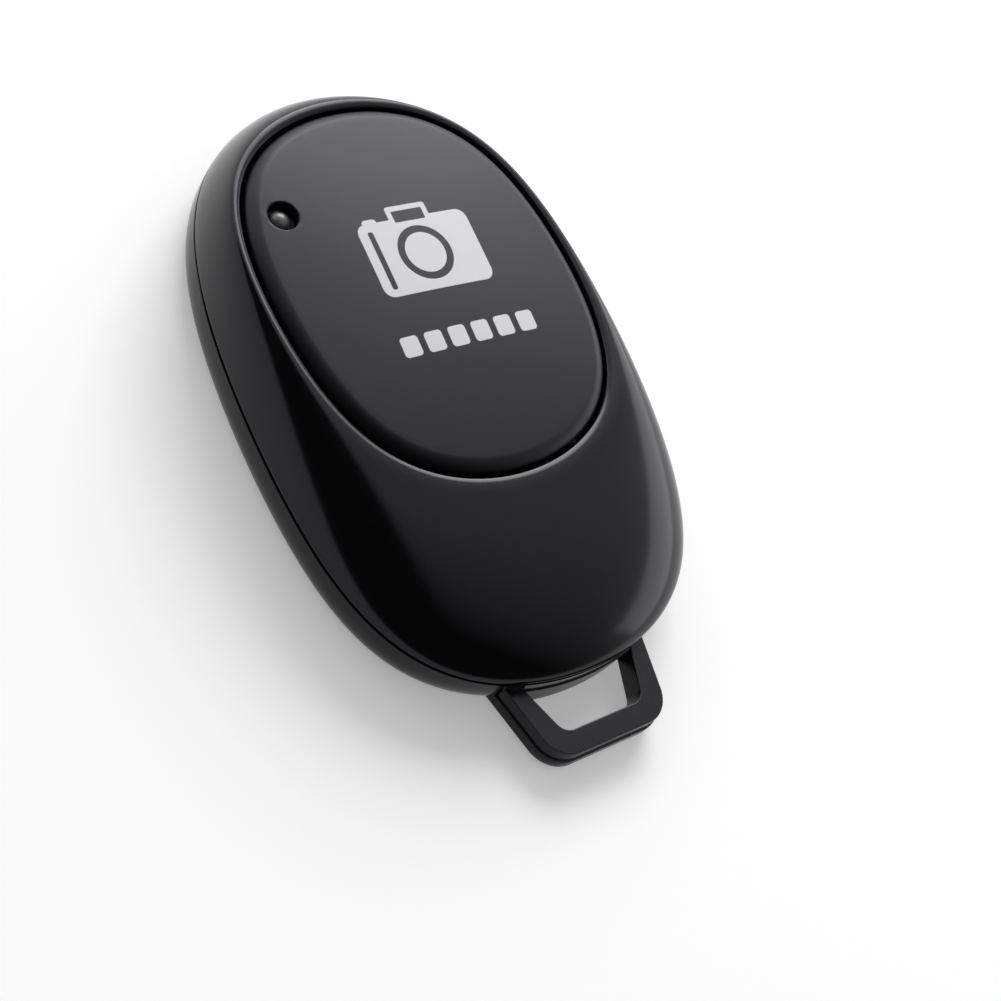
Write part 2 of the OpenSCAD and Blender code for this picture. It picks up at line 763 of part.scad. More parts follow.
module bluetooth_chip() {
    color("#232326")
    translate([chip_place[0], mid_y + chip_place[1], board_top]) {
        translate([-chip_w / 2, -chip_w / 2, chip_pad_t]) cube([chip_w, chip_w, chip_h - chip_pad_t]);
        for (turn = [0 : 90 : 270], k = [0 : chip_pads - 1])
            rotate([0, 0, turn])
            translate([
                (k - (chip_pads - 1) / 2) * chip_w / (chip_pads + 1) - chip_pad_w / 2,
                chip_w / 2 - 2 * chip_pad_w, 0])
            cube([chip_pad_w, 2 * chip_pad_w, 2 * chip_pad_t]);
    }
}

module clock_crystal() {
    color("#d0d1cf")
    translate([crystal_place[0], mid_y + crystal_place[1], board_top]) {
        translate([-crystal_size[0] / 2, -crystal_size[1] / 2, 0])
            cube([crystal_size[0], crystal_size[1], crystal_size[2] - crystal_lid]);
        translate([-crystal_size[0] / 2 + crystal_lid, -crystal_size[1] / 2 + crystal_lid, 0])
            cube([crystal_size[0] - 2 * crystal_lid, crystal_size[1] - 2 * crystal_lid, crystal_size[2]]);
    }
}

// Small two-ended parts: a body with a slightly larger metal cap at each end
module chip_parts(size, places) {
    lap = size[2] * 0.06;
    for (p = places)
        translate([p[0] - size[0] / 2, mid_y + p[1] - size[1] / 2, board_top])
        union() {
            translate([0, lap, lap]) cube([size[0], size[1] - 2 * lap, size[2] - 2 * lap]);
            for (x = [0, size[0] * (1 - end_share)])
                translate([x, 0, 0]) cube([size[0] * end_share, size[1], size[2]]);
        }
}

module capacitors() {
    color("#b58a5a") chip_parts(cap_size, cap_places);
}

module resistors() {
    color("#2c2c30") chip_parts(res_size, res_places);
}

module antenna_inductor() {
    color("#7d8a93") chip_parts(inductor_size, [inductor_place]);
}

// The printed antenna: one copper line that runs to and fro
module antenna_trace() {
    color("#c8803c")
    translate([trace_place[0], mid_y + trace_place[1], board_top])
    union() {
        for (k = [0 : trace_runs - 1])
            translate([0, k * trace_pitch, 0]) cube([trace_run_l, trace_w, trace_t]);
        for (k = [0 : trace_runs - 2])
            translate([k % 2 == 0 ? trace_run_l - trace_w : 0, k * trace_pitch, 0])
            cube([trace_w, trace_pitch + trace_w, trace_t]);
    }
}

front_shell();
key_cap();
light_guide();
rear_shell();
battery_cover();
cell_can();
cell_gasket();
cell_cap();
negative_contact();
positive_contact();
circuit_board();
board_screws();
switch_base();
switch_terminals();
switch_dome();
switch_plunger();
switch_cover();
status_led();
bluetooth_chip();
clock_crystal();
capacitors();
resistors();
antenna_inductor();
antenna_trace();
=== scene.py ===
"""Camera shutter remote: looks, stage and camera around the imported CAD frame

Blender's objects are in metres, and so are the sizes in the panel. The constants below are in millimetres
and degrees, unless they say otherwise.
"""

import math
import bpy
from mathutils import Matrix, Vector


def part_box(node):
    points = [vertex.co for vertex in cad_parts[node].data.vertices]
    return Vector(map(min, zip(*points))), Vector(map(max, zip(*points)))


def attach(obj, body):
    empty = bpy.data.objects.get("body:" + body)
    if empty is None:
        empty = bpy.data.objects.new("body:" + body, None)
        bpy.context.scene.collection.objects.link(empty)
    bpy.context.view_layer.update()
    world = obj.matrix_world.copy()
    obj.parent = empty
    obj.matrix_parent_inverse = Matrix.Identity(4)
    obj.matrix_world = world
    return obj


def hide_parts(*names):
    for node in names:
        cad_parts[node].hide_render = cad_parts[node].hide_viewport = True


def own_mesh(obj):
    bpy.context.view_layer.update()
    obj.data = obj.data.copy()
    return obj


bl_info = {
    "name": "Camera Shutter Remote",
    "version": (1, 0, 0),
    "blender": (4, 5, 0),
    "location": "3D View > Sidebar > Remote",
    "description": "Builds the shells, key, lamp and battery cover of a one-key camera remote",
    "category": "Add Mesh",
}

import bmesh
import bpy
from bpy.props import FloatProperty, FloatVectorProperty, IntProperty, PointerProperty
from mathutils import Matrix, Vector

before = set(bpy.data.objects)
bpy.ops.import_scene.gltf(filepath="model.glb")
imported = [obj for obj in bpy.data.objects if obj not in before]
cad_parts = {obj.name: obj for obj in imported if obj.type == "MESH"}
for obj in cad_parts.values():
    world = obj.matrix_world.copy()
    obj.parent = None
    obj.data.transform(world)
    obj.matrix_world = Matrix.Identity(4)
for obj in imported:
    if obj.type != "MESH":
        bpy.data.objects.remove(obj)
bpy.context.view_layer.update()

MM = 0.001

# Points closer than this, in metres, become one
MERGE = 1e-7
# How far a rod's corners are turned, as a share of a step round it
ROD_TURN = 0.37
# Where the middle of a small round lies, as a share of its size
ROUND_SHARE = 0.3
# Steps over the rounded sides, the crest, the back, the insides and the key's roll
SIDE_STEPS = 44
CREST_STEPS = 16
BACK_STEPS = 26
INSIDE_STEPS = 10
ROLL_STEPS = 18

# Shares that shape the two egg outlines, and the powers of the rounded sides and edges
BODY_SHARES = (-0.11, 0.275, -0.055)
OPENING_SHARES = (0, 0.22, 0)
FRONT_POWER = 1.5
BACK_POWER = 2.8
CREST_POWER = 2.6
KEY_ROLL_POWER = 1.5

# The shells: crest, opening and lip, then walls, seam and floor
CREST_IN = 2.4
CREST_DROP = 0.36
OPENING_LENGTH = 32.2
OPENING_MARGIN = 2.55
BEVEL_WIDTH = 0.65
LIP_DEPTH = 1.35
LIP_REACH = 0.6
LIP_WALL = 0.55
WALL = 1.5
GROOVE = 0.25
RIM_ROUND = 0.06
RABBET_SKIN = 0.68
TONGUE_INSET = 0.75
TONGUE_HEIGHT = 0.85
FLOOR = 1.3
EDGE_SOFT = 0.05
RUN_GAP = 0.05
CUT_OVER = 1

# The key: skirt, face, hooks under the lip, nib over the switch, lamp well and light guide
KEY_SKIRT = 0.9
KEY_SKIRT_LOW = 7.15
KEY_LEAD = 0.2
KEY_UNDER = 8.7
KEY_FACE_IN = 0.5
KEY_ROLL_DROP = 0.6
KEY_RINGS = 30
HOOK_TURNS = (90, 205, 270, 335)
HOOK_REACH = 0.35
HOOK_ROOT = 0.45
HOOK_HALF = 3
HOOK_LIFT = 0.03
HOOK_HEIGHT = 0.5
NIB_RADIUS = 1.6
NIB_LOW = 8.5
JOIN_DEPTH = 0.4
BOSS_WALL = 0.45
WELL_TURN = 142.5
WELL_IN = 3.4
WELL_ROUND = 0.16
WELL_DEPTH = 1.0
BORE_OVER = 0.3
WELL_FOOT = ((-0.08, 0), (-0.02, 0.03), (0, 0.1))
GUIDE_FOOT_LOW = 7.6
GUIDE_FOOT_RADIUS = 1.1
GUIDE_FOOT_HEIGHT = 0.4
GUIDE_SUNK = 0.55

# The battery cover, its opening, and the cradle, ribs and posts round it
COVER_SHIFT = 0.5
HUB_RADIUS = 10.45
LUG_RADIUS = 11.2
COVER_RADIUS = 11.6
COVER_DISC = 0.9
LUG_LOW = 1.35
LUG_TOP = 1.85
LUG_COUNT = 3
LUG_ARC = 30.5
ENTRY_ARC = 38
ENTRY_TURN = -45
COVER_PROFILE = (
    (0, 0), (9.2, 0), (9.3, 0.06), (9.42, 0.12), (9.62, 0.12), (9.74, 0.06), (9.84, 0), (10.35, 0),
    (10.43, 0.02), (10.47, 0.05), (11.45, 0.05), (11.56, 0.08), (11.6, 0.18), (11.6, 0.84), (11.54, 0.9),
    (HUB_RADIUS, 0.9), (HUB_RADIUS, 1.7), (HUB_RADIUS - 0.1, 1.8), (8.3, 1.8), (8.3, 1.9), (7.5, 1.9),
    (7.5, 1.8), (0, 1.8),
)
RECESS_GAP = 0.1
RECESS_MOUTH = ((0.3, -1), (0.3, 0), (0.08, 0.03), (0, 0.12))
DIMPLE_PROFILE = ((0, -0.5), (0.75, -0.5), (0.72, 0.02), (0.55, 0.12), (0.3, 0.18), (0, 0.2))
DIMPLE_TURNS = (30, 150, 210, 330)
DIMPLE_REACH = 8.2
POINTER_TIP = 8.9
POINTER_BASE = 7.7
POINTER_HALF = 0.75
POINTER_DEPTH = 0.15
DOTS = ((90, 0.55), (45, 0.4))
DOT_REACH = 1.5
DOT_DEPTH = 0.18
SLOT_HALF = (6.5, 0.9)
SLOT_CORNER = 0.35
SLOT_LAYERS = ((-0.14, -0.5), (-0.14, 0), (0, 0.12), (0, 0.54), (0.06, 0.6))
CRADLE_GAP = 0.25
CRADLE_WALL = 0.85
CRADLE_TOP = 5.2
ROOT_LOW = 0.65
RIB_TURNS = (30, 120, 210, 300)
RIB_IN = 10.15
RIB_ROOT = 0.4
RIB_HALF = 0.6
RIB_LOW = 1.9
BOARD_LOW = 5.65
POST_RADIUS = 1.6
PILOT_RADIUS = 0.55
PILOT_LOW = 2.05
SCREW_SIDE = 5.6
SCREW_IN = 7.6
LONE_SCREW = 14.7
DOME_SHEET = 0.1

# The lanyard loop, and the web that closes it to the rounded back
LOOP_LOW = 0.5
LOOP_HIGH = 2.55
LOOP_ROOT = 13.7
LOOP_END = 11
LOOP_CORNER = 2.6
LOOP_BAR = 1.9
WINDOW_ROOT = 10.8
WINDOW_END = 7.4
WINDOW_CORNER = 1.2
LOOP_ROUND = 0.12
LOOP_STEP = 0.15
LOOP_STEP_SHARE = 0.45
LOOP_ANCHOR = 3
WEB_HALF = 6.25
WEB_OUT = 0.1
WEB_IN = 0.8
WEB_LOW_IN = 0.02
WEB_TOP_IN = 0.1
LOOP_START_Y = -20.6

# The print on the key: middles, turn of its lines and lean of its uprights
PRINT_CENTRE = (0.47, 10.03)
PRINT_TURN = -3.4
PRINT_LEAN = 5.5
MARKS_CENTRE = (0.35, 3.13)
MARKS_TURN = -2.6
MARKS_COUNT = 6
MARKS_PITCH = 2.08
MARKS_HALF = (0.76, 0.8)
MARKS_ROUND = 0.3
# The sign's blocks, each with its middle, half width and height, and corner: body, grip and hump are inked,
# the hump's hollow and the grip's slot are bare, and so is a ring round the lens
SIGN_SOLID = (
    ((0, 0), (4.85, 3.05), 0.85),
    ((-3.55, 0.45), (0.62, 2.92), 0.3),
    ((-0.05, 3.2), (1.78, 0.92), 0.25),
)
SIGN_BARE = (((-0.05, 3.22), (1.35, 0.48), 0.1), ((-3.85, -0.05), (0.23, 2.42), 0.2))
SIGN_LENS = (-0.05, 0)
SIGN_RING = (2.27, 1.68)
KEY_PRINT_LOW = 9.1
INK_SHARPNESS = 28
INK_DEPTH = 0.006

# The finishes: the roughness of each, what the matte faces add to it, grains by size, detail and roughness,
# plain colours, and how the gloss of the two plastics is tinted
SHELL_GLOSS = 0.15
LOOP_MATTE = 0.13
BACK_MATTE = 0.2
KEY_GLOSS = 0.4
COVER_GLOSS = 0.42
BOARD_GLOSS = 0.3
FROST_GLOSS = 0.3
WAVE = (5.0, 1.0)
DUST = (1.4, 4.0, 0.7)
SHELL_GRAIN = (0.1, 3.0, 0.6)
KEY_GRAIN = (0.09, 2.0, 0.5)
KEY_CLOUD = (6.0, 2.0, 0.5)
COVER_GRAIN = (0.12, 3.0, 0.6)
COVER_RUB = (2.5, 4.0, 0.7)
GUIDE_COLOUR = (0.11, 0.11, 0.115)
# Painted shade: near-black colour laid on the board under the key's gap, where shade falls
BOARD_GAP_SHADE = (0.002, 0.002, 0.002)
SHELL_SHEEN = {"IOR": 1.33, "Specular Tint": (0.91, 0.89, 1.0, 1.0)}
KEY_SHEEN = {"IOR": 1.3, "Specular Tint": (0.92, 0.9, 1.0, 1.0)}

# The photograph's camera: its place in metres, its directions right, down and ahead, its lens and sensor
CAMERA_PLACE = (-0.105683, -0.04704, 0.139113)
CAMERA_AXES = (
    (0.75523, -0.47393, 0.45279),
    (-0.26226, -0.85158, -0.45391),
    (0.60070, 0.22406, -0.76743),
)
CAMERA_LENS = 88.005
CAMERA_SENSOR = 36

# The studio, in metres: a floor, and a dark room. Gloss shows a grey wall to its east and a bright one behind
FLOOR_HALF = 1.5
FLOOR_DROP = 0.00005
FLOOR_COLOUR = (0.88, 0.88, 0.88)
FLOOR_GLOW = 0.28
ROOM_DARK = 0.03
ROOM_FILL = 0.28
EAST_EDGE = -0.16
EAST_BLUR = 0.16
EAST_GLOW = 0.92
EAST_FADE = (1.65, 1.1)
NORTH_EDGE = 0.02
NORTH_BLUR = 0.14
NORTH_LEAN = 0.9
NORTH_GLOW = 1.4
# Each lamp: its direction from the part, its width and height, its power in watts
LAMP_DISTANCE = 0.6
LAMPS = (
    ("key_softbox", (0.54, 0.65, 0.53), (0.42, 0.36), 3.2),
    ("back_softbox", (0.1, 0.87, 0.48), (1.1, 0.35), 1.3),
    ("rim_softbox", (0.94, -0.1, 0.22), (0.8, 0.24), 1.0),
)


def length(name, description, default, least):
    """A length in the panel, given here in millimetres"""
    return FloatProperty(
        name=name, description=description, default=default * MM, min=least * MM, unit="LENGTH"
    )


def tone(name, description, default):
    """A colour in the panel"""
    return FloatVectorProperty(
        name=name, description=description, default=default, size=3, min=0, max=1, subtype="COLOR"
    )


class RemoteSizes(bpy.types.PropertyGroup):
    """Sizes of the remote's shells and key"""

    body_length: length("Body length", "Length of the body without the loop", 48, 30)
    body_width: length("Body width", "Width of the body at its widest", 32.2, 20)
    loop_reach: length("Loop reach", "How far the lanyard loop stands out past the body", 5.15, 2)
    seam_height: length("Seam height", "Height of the line where the two shells meet", 3.6, 1)
    crest_height: length("Crest height", "Height of the crest round the key", 9.1, 4)
    crest_fall: length("Crest fall", "How far the crest falls towards the body's ends", 0.3, 0)
    back_inset: length("Back inset", "How far the flat back lies inside the widest outline", 1.9, 0)
    key_gap: length("Key gap", "Gap round the key", 0.3, 0.05)
    key_rise: length("Key rise", "How far the key's edge stands above the crest", 0.4, 0)
    key_crown: length("Key crown", "Crown of the key's face", 0.6, 0)
    key_roll: length("Key roll", "Width of the soft roll at the edge of the key's face", 0.95, 0.1)
    well_radius: length("Lamp well radius", "Radius of the round well that the lamp sits in", 1.15, 0.3)
    guide_radius: length("Light guide radius", "Radius of the dome that carries the lamp's light", 0.75, 0.2)
    ring_points: IntProperty(
        name="Points round",
        description="Points round each outline of the shells and the key",
        default=216,
        min=24,
        max=400,
    )


class RemoteLooks(bpy.types.PropertyGroup):
    """Colours of the remote's plastics and print"""

    shell: tone("Shell", "Colour of the glossy black shells", (0.0035, 0.0035, 0.004))
    key: tone("Key", "Colour of the satin key", (0.0055, 0.0052, 0.006))
    ink: tone("Ink", "Colour of the print on the key", (0.72, 0.71, 0.72))
    loop: tone("Loop", "Colour of the matte faces of the lanyard loop", (0.0055, 0.0052, 0.006))


# ---------------------------------------------------------------- outlines
def egg(count, half_width, half_length, middle_y, shares):
    """Points of an egg-shaped outline, counter-clockwise as seen from the key side"""
    points = []
    for k in range(count):
        turn = 2 * math.pi * k / count
        s, c = math.sin(turn), math.cos(turn)
        swell = 1 + shares[0] * s + shares[1] * s * s + shares[2] * s * s * s
        points.append(Vector((half_width * c * swell, middle_y + half_length * s)))
    return points


def arm(turn, reach=1.0):
    """A step in plan, turned by degrees from +X"""
    return Vector((math.cos(math.radians(turn)), math.sin(math.radians(turn)))) * reach


def inset(points, distance):
    """An outline moved inwards, square to itself"""
    moved = []
    for k, point in enumerate(points):
        along = (points[(k + 1) % len(points)] - points[k - 1]).normalized()
        moved.append(point + distance * Vector((-along.y, along.x)))
    return moved


def level(points, height):
    return [Vector((p.x, p.y, height)) for p in points]


def ring(outline, inward, height):
    """An outline moved inwards, at a height"""
    return level(inset(outline, inward), height)


def rise(power, steps, start=0.0):
    """Shares of height and of inset up a rounded side, evenly spread along its curve"""
    shares = []
    for k in range(steps + 1):
        turn = start + (math.pi / 2 - start) * k / steps
        shares.append((math.sin(turn) ** (2 / power), 1 - max(math.cos(turn), 0) ** (2 / power)))
    return shares


def roll(power, steps):
    """Shares of drop and of inset over a soft edge, from its flat start to its upright end"""
    return [(1 - height, 1 - inward) for height, inward in reversed(rise(power, steps))][1:]


def rounded_corners(corners, radii, steps=10):
    """A polygon whose corners are rounded by arcs, or left sharp where the radius is zero"""
    points = []
    for k, corner in enumerate(corners):
        if not radii[k]:
            points.append(corner)
            continue
        before = (corners[k - 1] - corner).normalized()
        after = (corners[(k + 1) % len(corners)] - corner).normalized()
        half = before.angle(after) / 2
        centre = corner + (before + after).normalized() * radii[k] / math.sin(half)
        start = corner + before * radii[k] / math.tan(half) - centre
        end = corner + after * radii[k] / math.tan(half) - centre
        sweep = start.angle_signed(end)
        for step in range(steps + 1):
            spoke = start.copy()
            spoke.rotate(Matrix.Rotation(-sweep * step / steps, 2))
            points.append(centre + spoke)
    return points


class Plan:
    """The outlines and heights of the remote, from the sizes in the panel"""

    def __init__(self, context):
        self.sizes = sizes = context.scene.remote_sizes
        count = sizes.ring_points
        self.middle_y = sizes.loop_reach / 2
        self.end_y = self.middle_y - sizes.body_length / 2
        self.top_y = self.middle_y + sizes.body_length / 2
        self.key_y = self.top_y - (OPENING_MARGIN + OPENING_LENGTH / 2) * MM
        self.key_middle = Vector((0, self.key_y))
        self.hatch = Vector((0, self.middle_y + COVER_SHIFT * MM))
        widest = max(p.x for p in egg(count, 1, 1, 0, BODY_SHARES))
        half_w, half_l = sizes.body_width / 2, sizes.body_length / 2
        self.seam = egg(count, half_w / widest, half_l, self.middle_y, BODY_SHARES)
        opening = (half_w - CREST_IN * MM, OPENING_LENGTH / 2 * MM)
        self.crest = egg(count, *opening, self.key_y, OPENING_SHARES)
        c, s = arm(WELL_TURN)
        well_w, well_l = half_w - (CREST_IN + WELL_IN) * MM, (OPENING_LENGTH / 2 - WELL_IN) * MM
        self.well = Vector((well_w * c * (1 + OPENING_SHARES[1] * s * s), self.key_y + well_l * s))
        self.bore = inset(self.crest, BEVEL_WIDTH * MM)
        self.key = inset(self.bore, sizes.key_gap)
        self.rim = sizes.seam_height - GROOVE / 2 * MM
        self.front_rim = sizes.seam_height + GROOVE / 2 * MM
        self.tongue_top = self.rim + TONGUE_HEIGHT * MM
        self.rabbet = self.tongue_top + RUN_GAP * MM
        self.lip = sizes.crest_height - LIP_DEPTH * MM
        self.key_edge = sizes.crest_height + sizes.key_rise

    def fall(self, y):
        """How far the line of the crest lies below its highest place"""
        return self.sizes.crest_fall * ((y - self.middle_y) / (self.sizes.body_length / 2)) ** 2

    def crowned(self, points, height):
        return [Vector((p.x, p.y, height - self.fall(p.y))) for p in points]

    def between(self, low, high, height_share, inset_share):
        """A ring between two rings of points in space"""
        shares = Vector((inset_share, inset_share, height_share))
        return [a + (b - a) * shares for a, b in zip(low, high)]

    def skin(self, height_share, inset_share):
        low, high = level(self.seam, self.front_rim), self.crowned(self.crest, self.sizes.crest_height)
        return self.between(low, high, height_share, inset_share)

    def face_height(self, point):
        """Height of the key's crowned face"""
        out = point - self.key_middle
        reach = min((p - self.key_middle for p in self.key), key=lambda way: abs(way.angle_signed(out)))
        share = out.length / (reach.length - KEY_FACE_IN * MM)
        return self.key_edge + self.sizes.key_crown * (1 - share * share) - self.fall(point.y)


# ---------------------------------------------------------------- mesh helpers
def loft(bm, rings):
    """Skins a row of rings: each is extruded from the last and laid on its own points"""
    row = [bm.verts.new(p) for p in rings[0]]
    edges = [bm.edges.new((row[k - 1], row[k])) for k in range(len(row))]
    first = list(edges)
    for points in rings[1:]:
        made = bmesh.ops.extrude_edge_only(bm, edges=edges)["geom"]
        fresh = {g for g in made if isinstance(g, bmesh.types.BMVert)}
        upper = []
        for vert, place in zip(row, points):
            partner = next(v for v in (e.other_vert(vert) for e in vert.link_edges) if v in fresh)
            partner.co = place
            upper.append(partner)
        edges = [g for g in made if isinstance(g, bmesh.types.BMEdge) and fresh.issuperset(g.verts)]
        row = upper
    return first, edges


def tidy(bm):
    """Merges what meets and turns every face outwards"""
    bmesh.ops.remove_doubles(bm, verts=bm.verts, dist=MERGE)
    bmesh.ops.recalc_face_normals(bm, faces=bm.faces)
    return bm


def closed(rings):
    """A solid through a row of rings, closed at both ends"""
    bm = bmesh.new()
    for end in loft(bm, rings):
        bmesh.ops.edgeloop_fill(bm, edges=end)
    return tidy(bm)


def slab(layers):
    """An upright solid through plan outlines at their own heights"""
    return closed([level(outline, height) for outline, height in layers])


def prism(outline, low, high):
    """An upright solid on a plan outline"""
    return slab([(outline, low), (outline, high)])


def in_mm(profile):
    """A profile that is written in millimetres"""
    return [(r * MM, z * MM) for r, z in profile]


def turned(profile, centre, steps=96):
    """A solid turned about an upright axis from a profile of (radius, height) points"""
    bm = bmesh.new()
    verts = [bm.verts.new((centre[0] + r, centre[1], z)) for r, z in profile]
    edges = [bm.edges.new(pair) for pair in zip(verts, verts[1:])]
    middle = (centre[0], centre[1], 0)
    geom = verts + edges
    bmesh.ops.spin(bm, geom=geom, cent=middle, axis=(0, 0, 1), angle=math.tau, steps=steps, use_merge=True)
    return tidy(bm)


def rod(radius, low, high, centre, steps=64):
    """An upright cylinder, turned a little so that its corners meet nobody else's"""
    turns = [360 * (k + ROD_TURN) / steps for k in range(steps)]
    return prism([Vector(centre) + arm(turn, radius) for turn in turns], low, high)


def sector(radius_in, radius_out, middle_turn, arc, centre, steps=16):
    """The plan outline of a part of a ring, between two radii"""
    ways = [arm(middle_turn - arc / 2 + arc * k / steps) for k in range(steps + 1)]
    return [centre + way * radius_out for way in ways] + [centre + way * radius_in for way in reversed(ways)]


def loose_object(bm, name):
    mesh = bpy.data.meshes.new(name)
    bm.to_mesh(mesh)
    bm.free()
    made = bpy.data.objects.new(name, mesh)
    bpy.context.scene.collection.objects.link(made)
    return made


def combine(base, joined, taken):
    """Joins solids to a base one after another, then cuts others out of it"""
    host = loose_object(base, "host")
    tools = []
    for operation, helpers in (("UNION", joined), ("DIFFERENCE", taken)):
        for helper in helpers:
            tools.append(loose_object(helper, "tool"))
            step = host.modifiers.new("step", "BOOLEAN")
            step.solver = "EXACT"
            step.operation = operation
            step.object = tools[-1]
    graph = bpy.context.evaluated_depsgraph_get()
    result = bpy.data.meshes.new_from_object(host.evaluated_get(graph))
    made = bmesh.new()
    made.from_mesh(result)
    bpy.data.meshes.remove(result)
    for helper in [host, *tools]:
        mesh = helper.data
        bpy.data.objects.remove(helper)
        bpy.data.meshes.remove(mesh)
    if not made.faces:
        raise RuntimeError("joining and cutting left nothing")
    return made


def make_piece(bm, name, body, material, node, sharp=32):
    """A finished piece at the origin, smooth but for its sharp edges, riding on its CAD body"""
    bmesh.ops.remove_doubles(bm, verts=bm.verts, dist=MERGE)
    piece = loose_object(bm, name)
    piece.data.shade_smooth()
    piece.data.set_sharp_from_angle(angle=math.radians(sharp))
    piece.data.materials.append(material)
    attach(piece, body)
    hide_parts(node)
    return piece


def even_out(piece):
    """Weighs the normals by the size of the faces, so that large faces look flat"""
    weigh = piece.modifiers.new("even_normals", "WEIGHTED_NORMAL")
    weigh.keep_sharp = True
    weigh.weight = 60


# ---------------------------------------------------------------- shader maths
def both_forms(operation):
    """An operator's plain form and its reflected one"""
    return (
        lambda self, other: self.math(operation, self, other),
        lambda self, other: self.math(operation, other, self),
    )


class Field:
    """A number that varies over a surface: arithmetic on it adds Math nodes"""

    __add__, __radd__ = both_forms("ADD")
    __sub__, __rsub__ = both_forms("SUBTRACT")
    __mul__, __rmul__ = both_forms("MULTIPLY")
    __truediv__, __rtruediv__ = both_forms("DIVIDE")

    def __init__(self, shader, socket):
        self.shader = shader
        self.socket = socket

    def math(self, operation, first, second=0.0, clamp=False):
        node = self.shader.add("Math", {"operation": operation, "use_clamp": clamp}, {0: first, 1: second})
        return Field(self.shader, node.outputs[0])

    def __abs__(self):
        return self.math("ABSOLUTE", self)

    def at_least(self, other):
        return self.math("MAXIMUM", self, other)

    def at_most(self, other):
        return self.math("MINIMUM", self, other)

    def to_and_fro(self, reach):
        return self.math("PINGPONG", self, reach)

    def root(self):
        return self.math("SQRT", self)

    def clamp(self):
        return self.math("ADD", self, clamp=True)

    def past(self, place, sharpness):
        """From nothing to full beyond a place, or short of it where the sharpness is negative"""
        return ((self - place) * sharpness).clamp()


class Shader:
    """The nodes of a new material, or of the world"""

    def __init__(self, name, world=None):
        self.owner = world or bpy.data.materials.new(name)
        self.owner.use_nodes = True
        self.tree = self.owner.node_tree
        self.tree.nodes.clear()
        self.coordinates = None

    def add(self, kind, settings=None, values=None):
        """One node: its type, its settings, then a value or a link for each of its sockets"""
        node = self.tree.nodes.new("ShaderNode" + kind)
        for key, value in (settings or {}).items():
            setattr(node, key, value)
        for key, value in (values or {}).items():
            socket = node.inputs[key]
            source = value.socket if isinstance(value, Field) else value
            if isinstance(source, bpy.types.NodeSocket):
                self.tree.links.new(source, socket)
            else:
                socket.default_value = source
        return node

    def place(self):
        """Object coordinates, in millimetres"""
        if self.coordinates is None:
            where = self.add("TexCoord").outputs["Object"]
            scaled = self.add("VectorMath", {"operation": "SCALE"}, {0: where, "Scale": 1 / MM})
            self.coordinates = scaled.outputs[0]
        return self.coordinates

    def axes(self):
        split = self.add("SeparateXYZ", None, {0: self.place()})
        return [Field(self, s) for s in split.outputs]

    def noise(self, size, detail=2.0, roughness=0.5, stretch=(1, 1, 1)):
        """Noise about 0.5, with features of the given size in millimetres"""
        mapping = {"Vector": self.place(), "Scale": [s / size for s in stretch]}
        where = self.add("Mapping", {"vector_type": "POINT"}, mapping).outputs[0]
        values = {"Vector": where, "Scale": 1.0, "Detail": detail, "Roughness": roughness}
        return Field(self, self.add("TexNoise", None, values).outputs[0])

    def blend(self, share, first, second):
        """A colour between two colours"""
        settings = {"data_type": "RGBA", "blend_type": "MIX"}
        values = {0: share, 6: self.colour(first), 7: self.colour(second)}
        return self.add("Mix", settings, values).outputs[2]

    def colour(self, value):
        return value if isinstance(value, bpy.types.NodeSocket) else (*value, 1)

    def bump(self, height, depth):
        """A surface relief of the given depth in millimetres"""
        values = {"Height": height, "Distance": depth * MM, "Strength": 1.0}
        return self.add("Bump", None, values).outputs[0]

    def ray(self, *kinds):
        """Full for rays of the given kinds"""
        sight = self.add("LightPath")
        full = Field(self, sight.outputs[f"Is {kinds[0]} Ray"])
        for kind in kinds[1:]:
            full = full.at_least(Field(self, sight.outputs[f"Is {kind} Ray"]))
        return full

    def finish(self, base, roughness, normal, plain=None):
        """The Principled surface: plain holds fixed values of its other sockets"""
        values = {"Base Color": self.colour(base), "Roughness": roughness, "Normal": normal, **(plain or {})}
        surface = self.add("BsdfPrincipled", None, values)
        self.add("OutputMaterial", None, {0: surface.outputs[0]})
        return self.owner


# ---------------------------------------------------------------- materials
def shaded(colour, share, lift=0.0):
    """A colour made darker or lighter"""
    return [min(1, share * c + lift) for c in colour]


def dusty(shader, colour):
    """Gloss plastic's colour with a trace of dust"""
    return shader.blend((shader.noise(*DUST) - 0.45).clamp() * 0.25, colour, shaded(colour, 1.6, 0.004))


def moulded_plastic(name, colour, gloss, grain, relief):
    """Moulded plastic: a faint waviness, a fine grain and a little unevenness in its gloss"""
    shader = Shader(name)
    wave, fine = shader.noise(*WAVE), shader.noise(grain, 3.0, 0.6)
    roughness = gloss + (wave - 0.5) * 0.05 + (fine - 0.5) * 0.06
    return shader.finish(dusty(shader, colour), roughness, shader.bump(fine, relief), SHELL_SHEEN)


def plated_metal(name, colour, roughness, brush=(1, 1, 1), tarnish=0.25):
    """Plated sheet metal: brushed along one way, a little darker where it has dulled"""
    shader = Shader(name)
    lines = shader.noise(0.12, 3.0, 0.6, brush)
    dull = (shader.noise(1.8, 4.0, 0.6) - 0.5).clamp() * tarnish * 2
    base = shader.blend(dull, colour, shaded(colour, 0.6))
    roughness = roughness + (lines - 0.5) * 0.12 + dull * 0.3
    return shader.finish(base, roughness, shader.bump(lines, 0.004), {"Metallic": 1.0})


def ceramic_body(name, colour, roughness):
    """Small parts of fired ceramic or moulding compound, speckled finely"""
    shader = Shader(name)
    speck = shader.noise(0.08, 3.0, 0.65)
    base = shader.blend((speck * 1.4 - 0.3).clamp(), shaded(colour, 0.8), shaded(colour, 1.2))
    return shader.finish(base, roughness + (speck - 0.5) * 0.15, shader.bump(speck, 0.003))


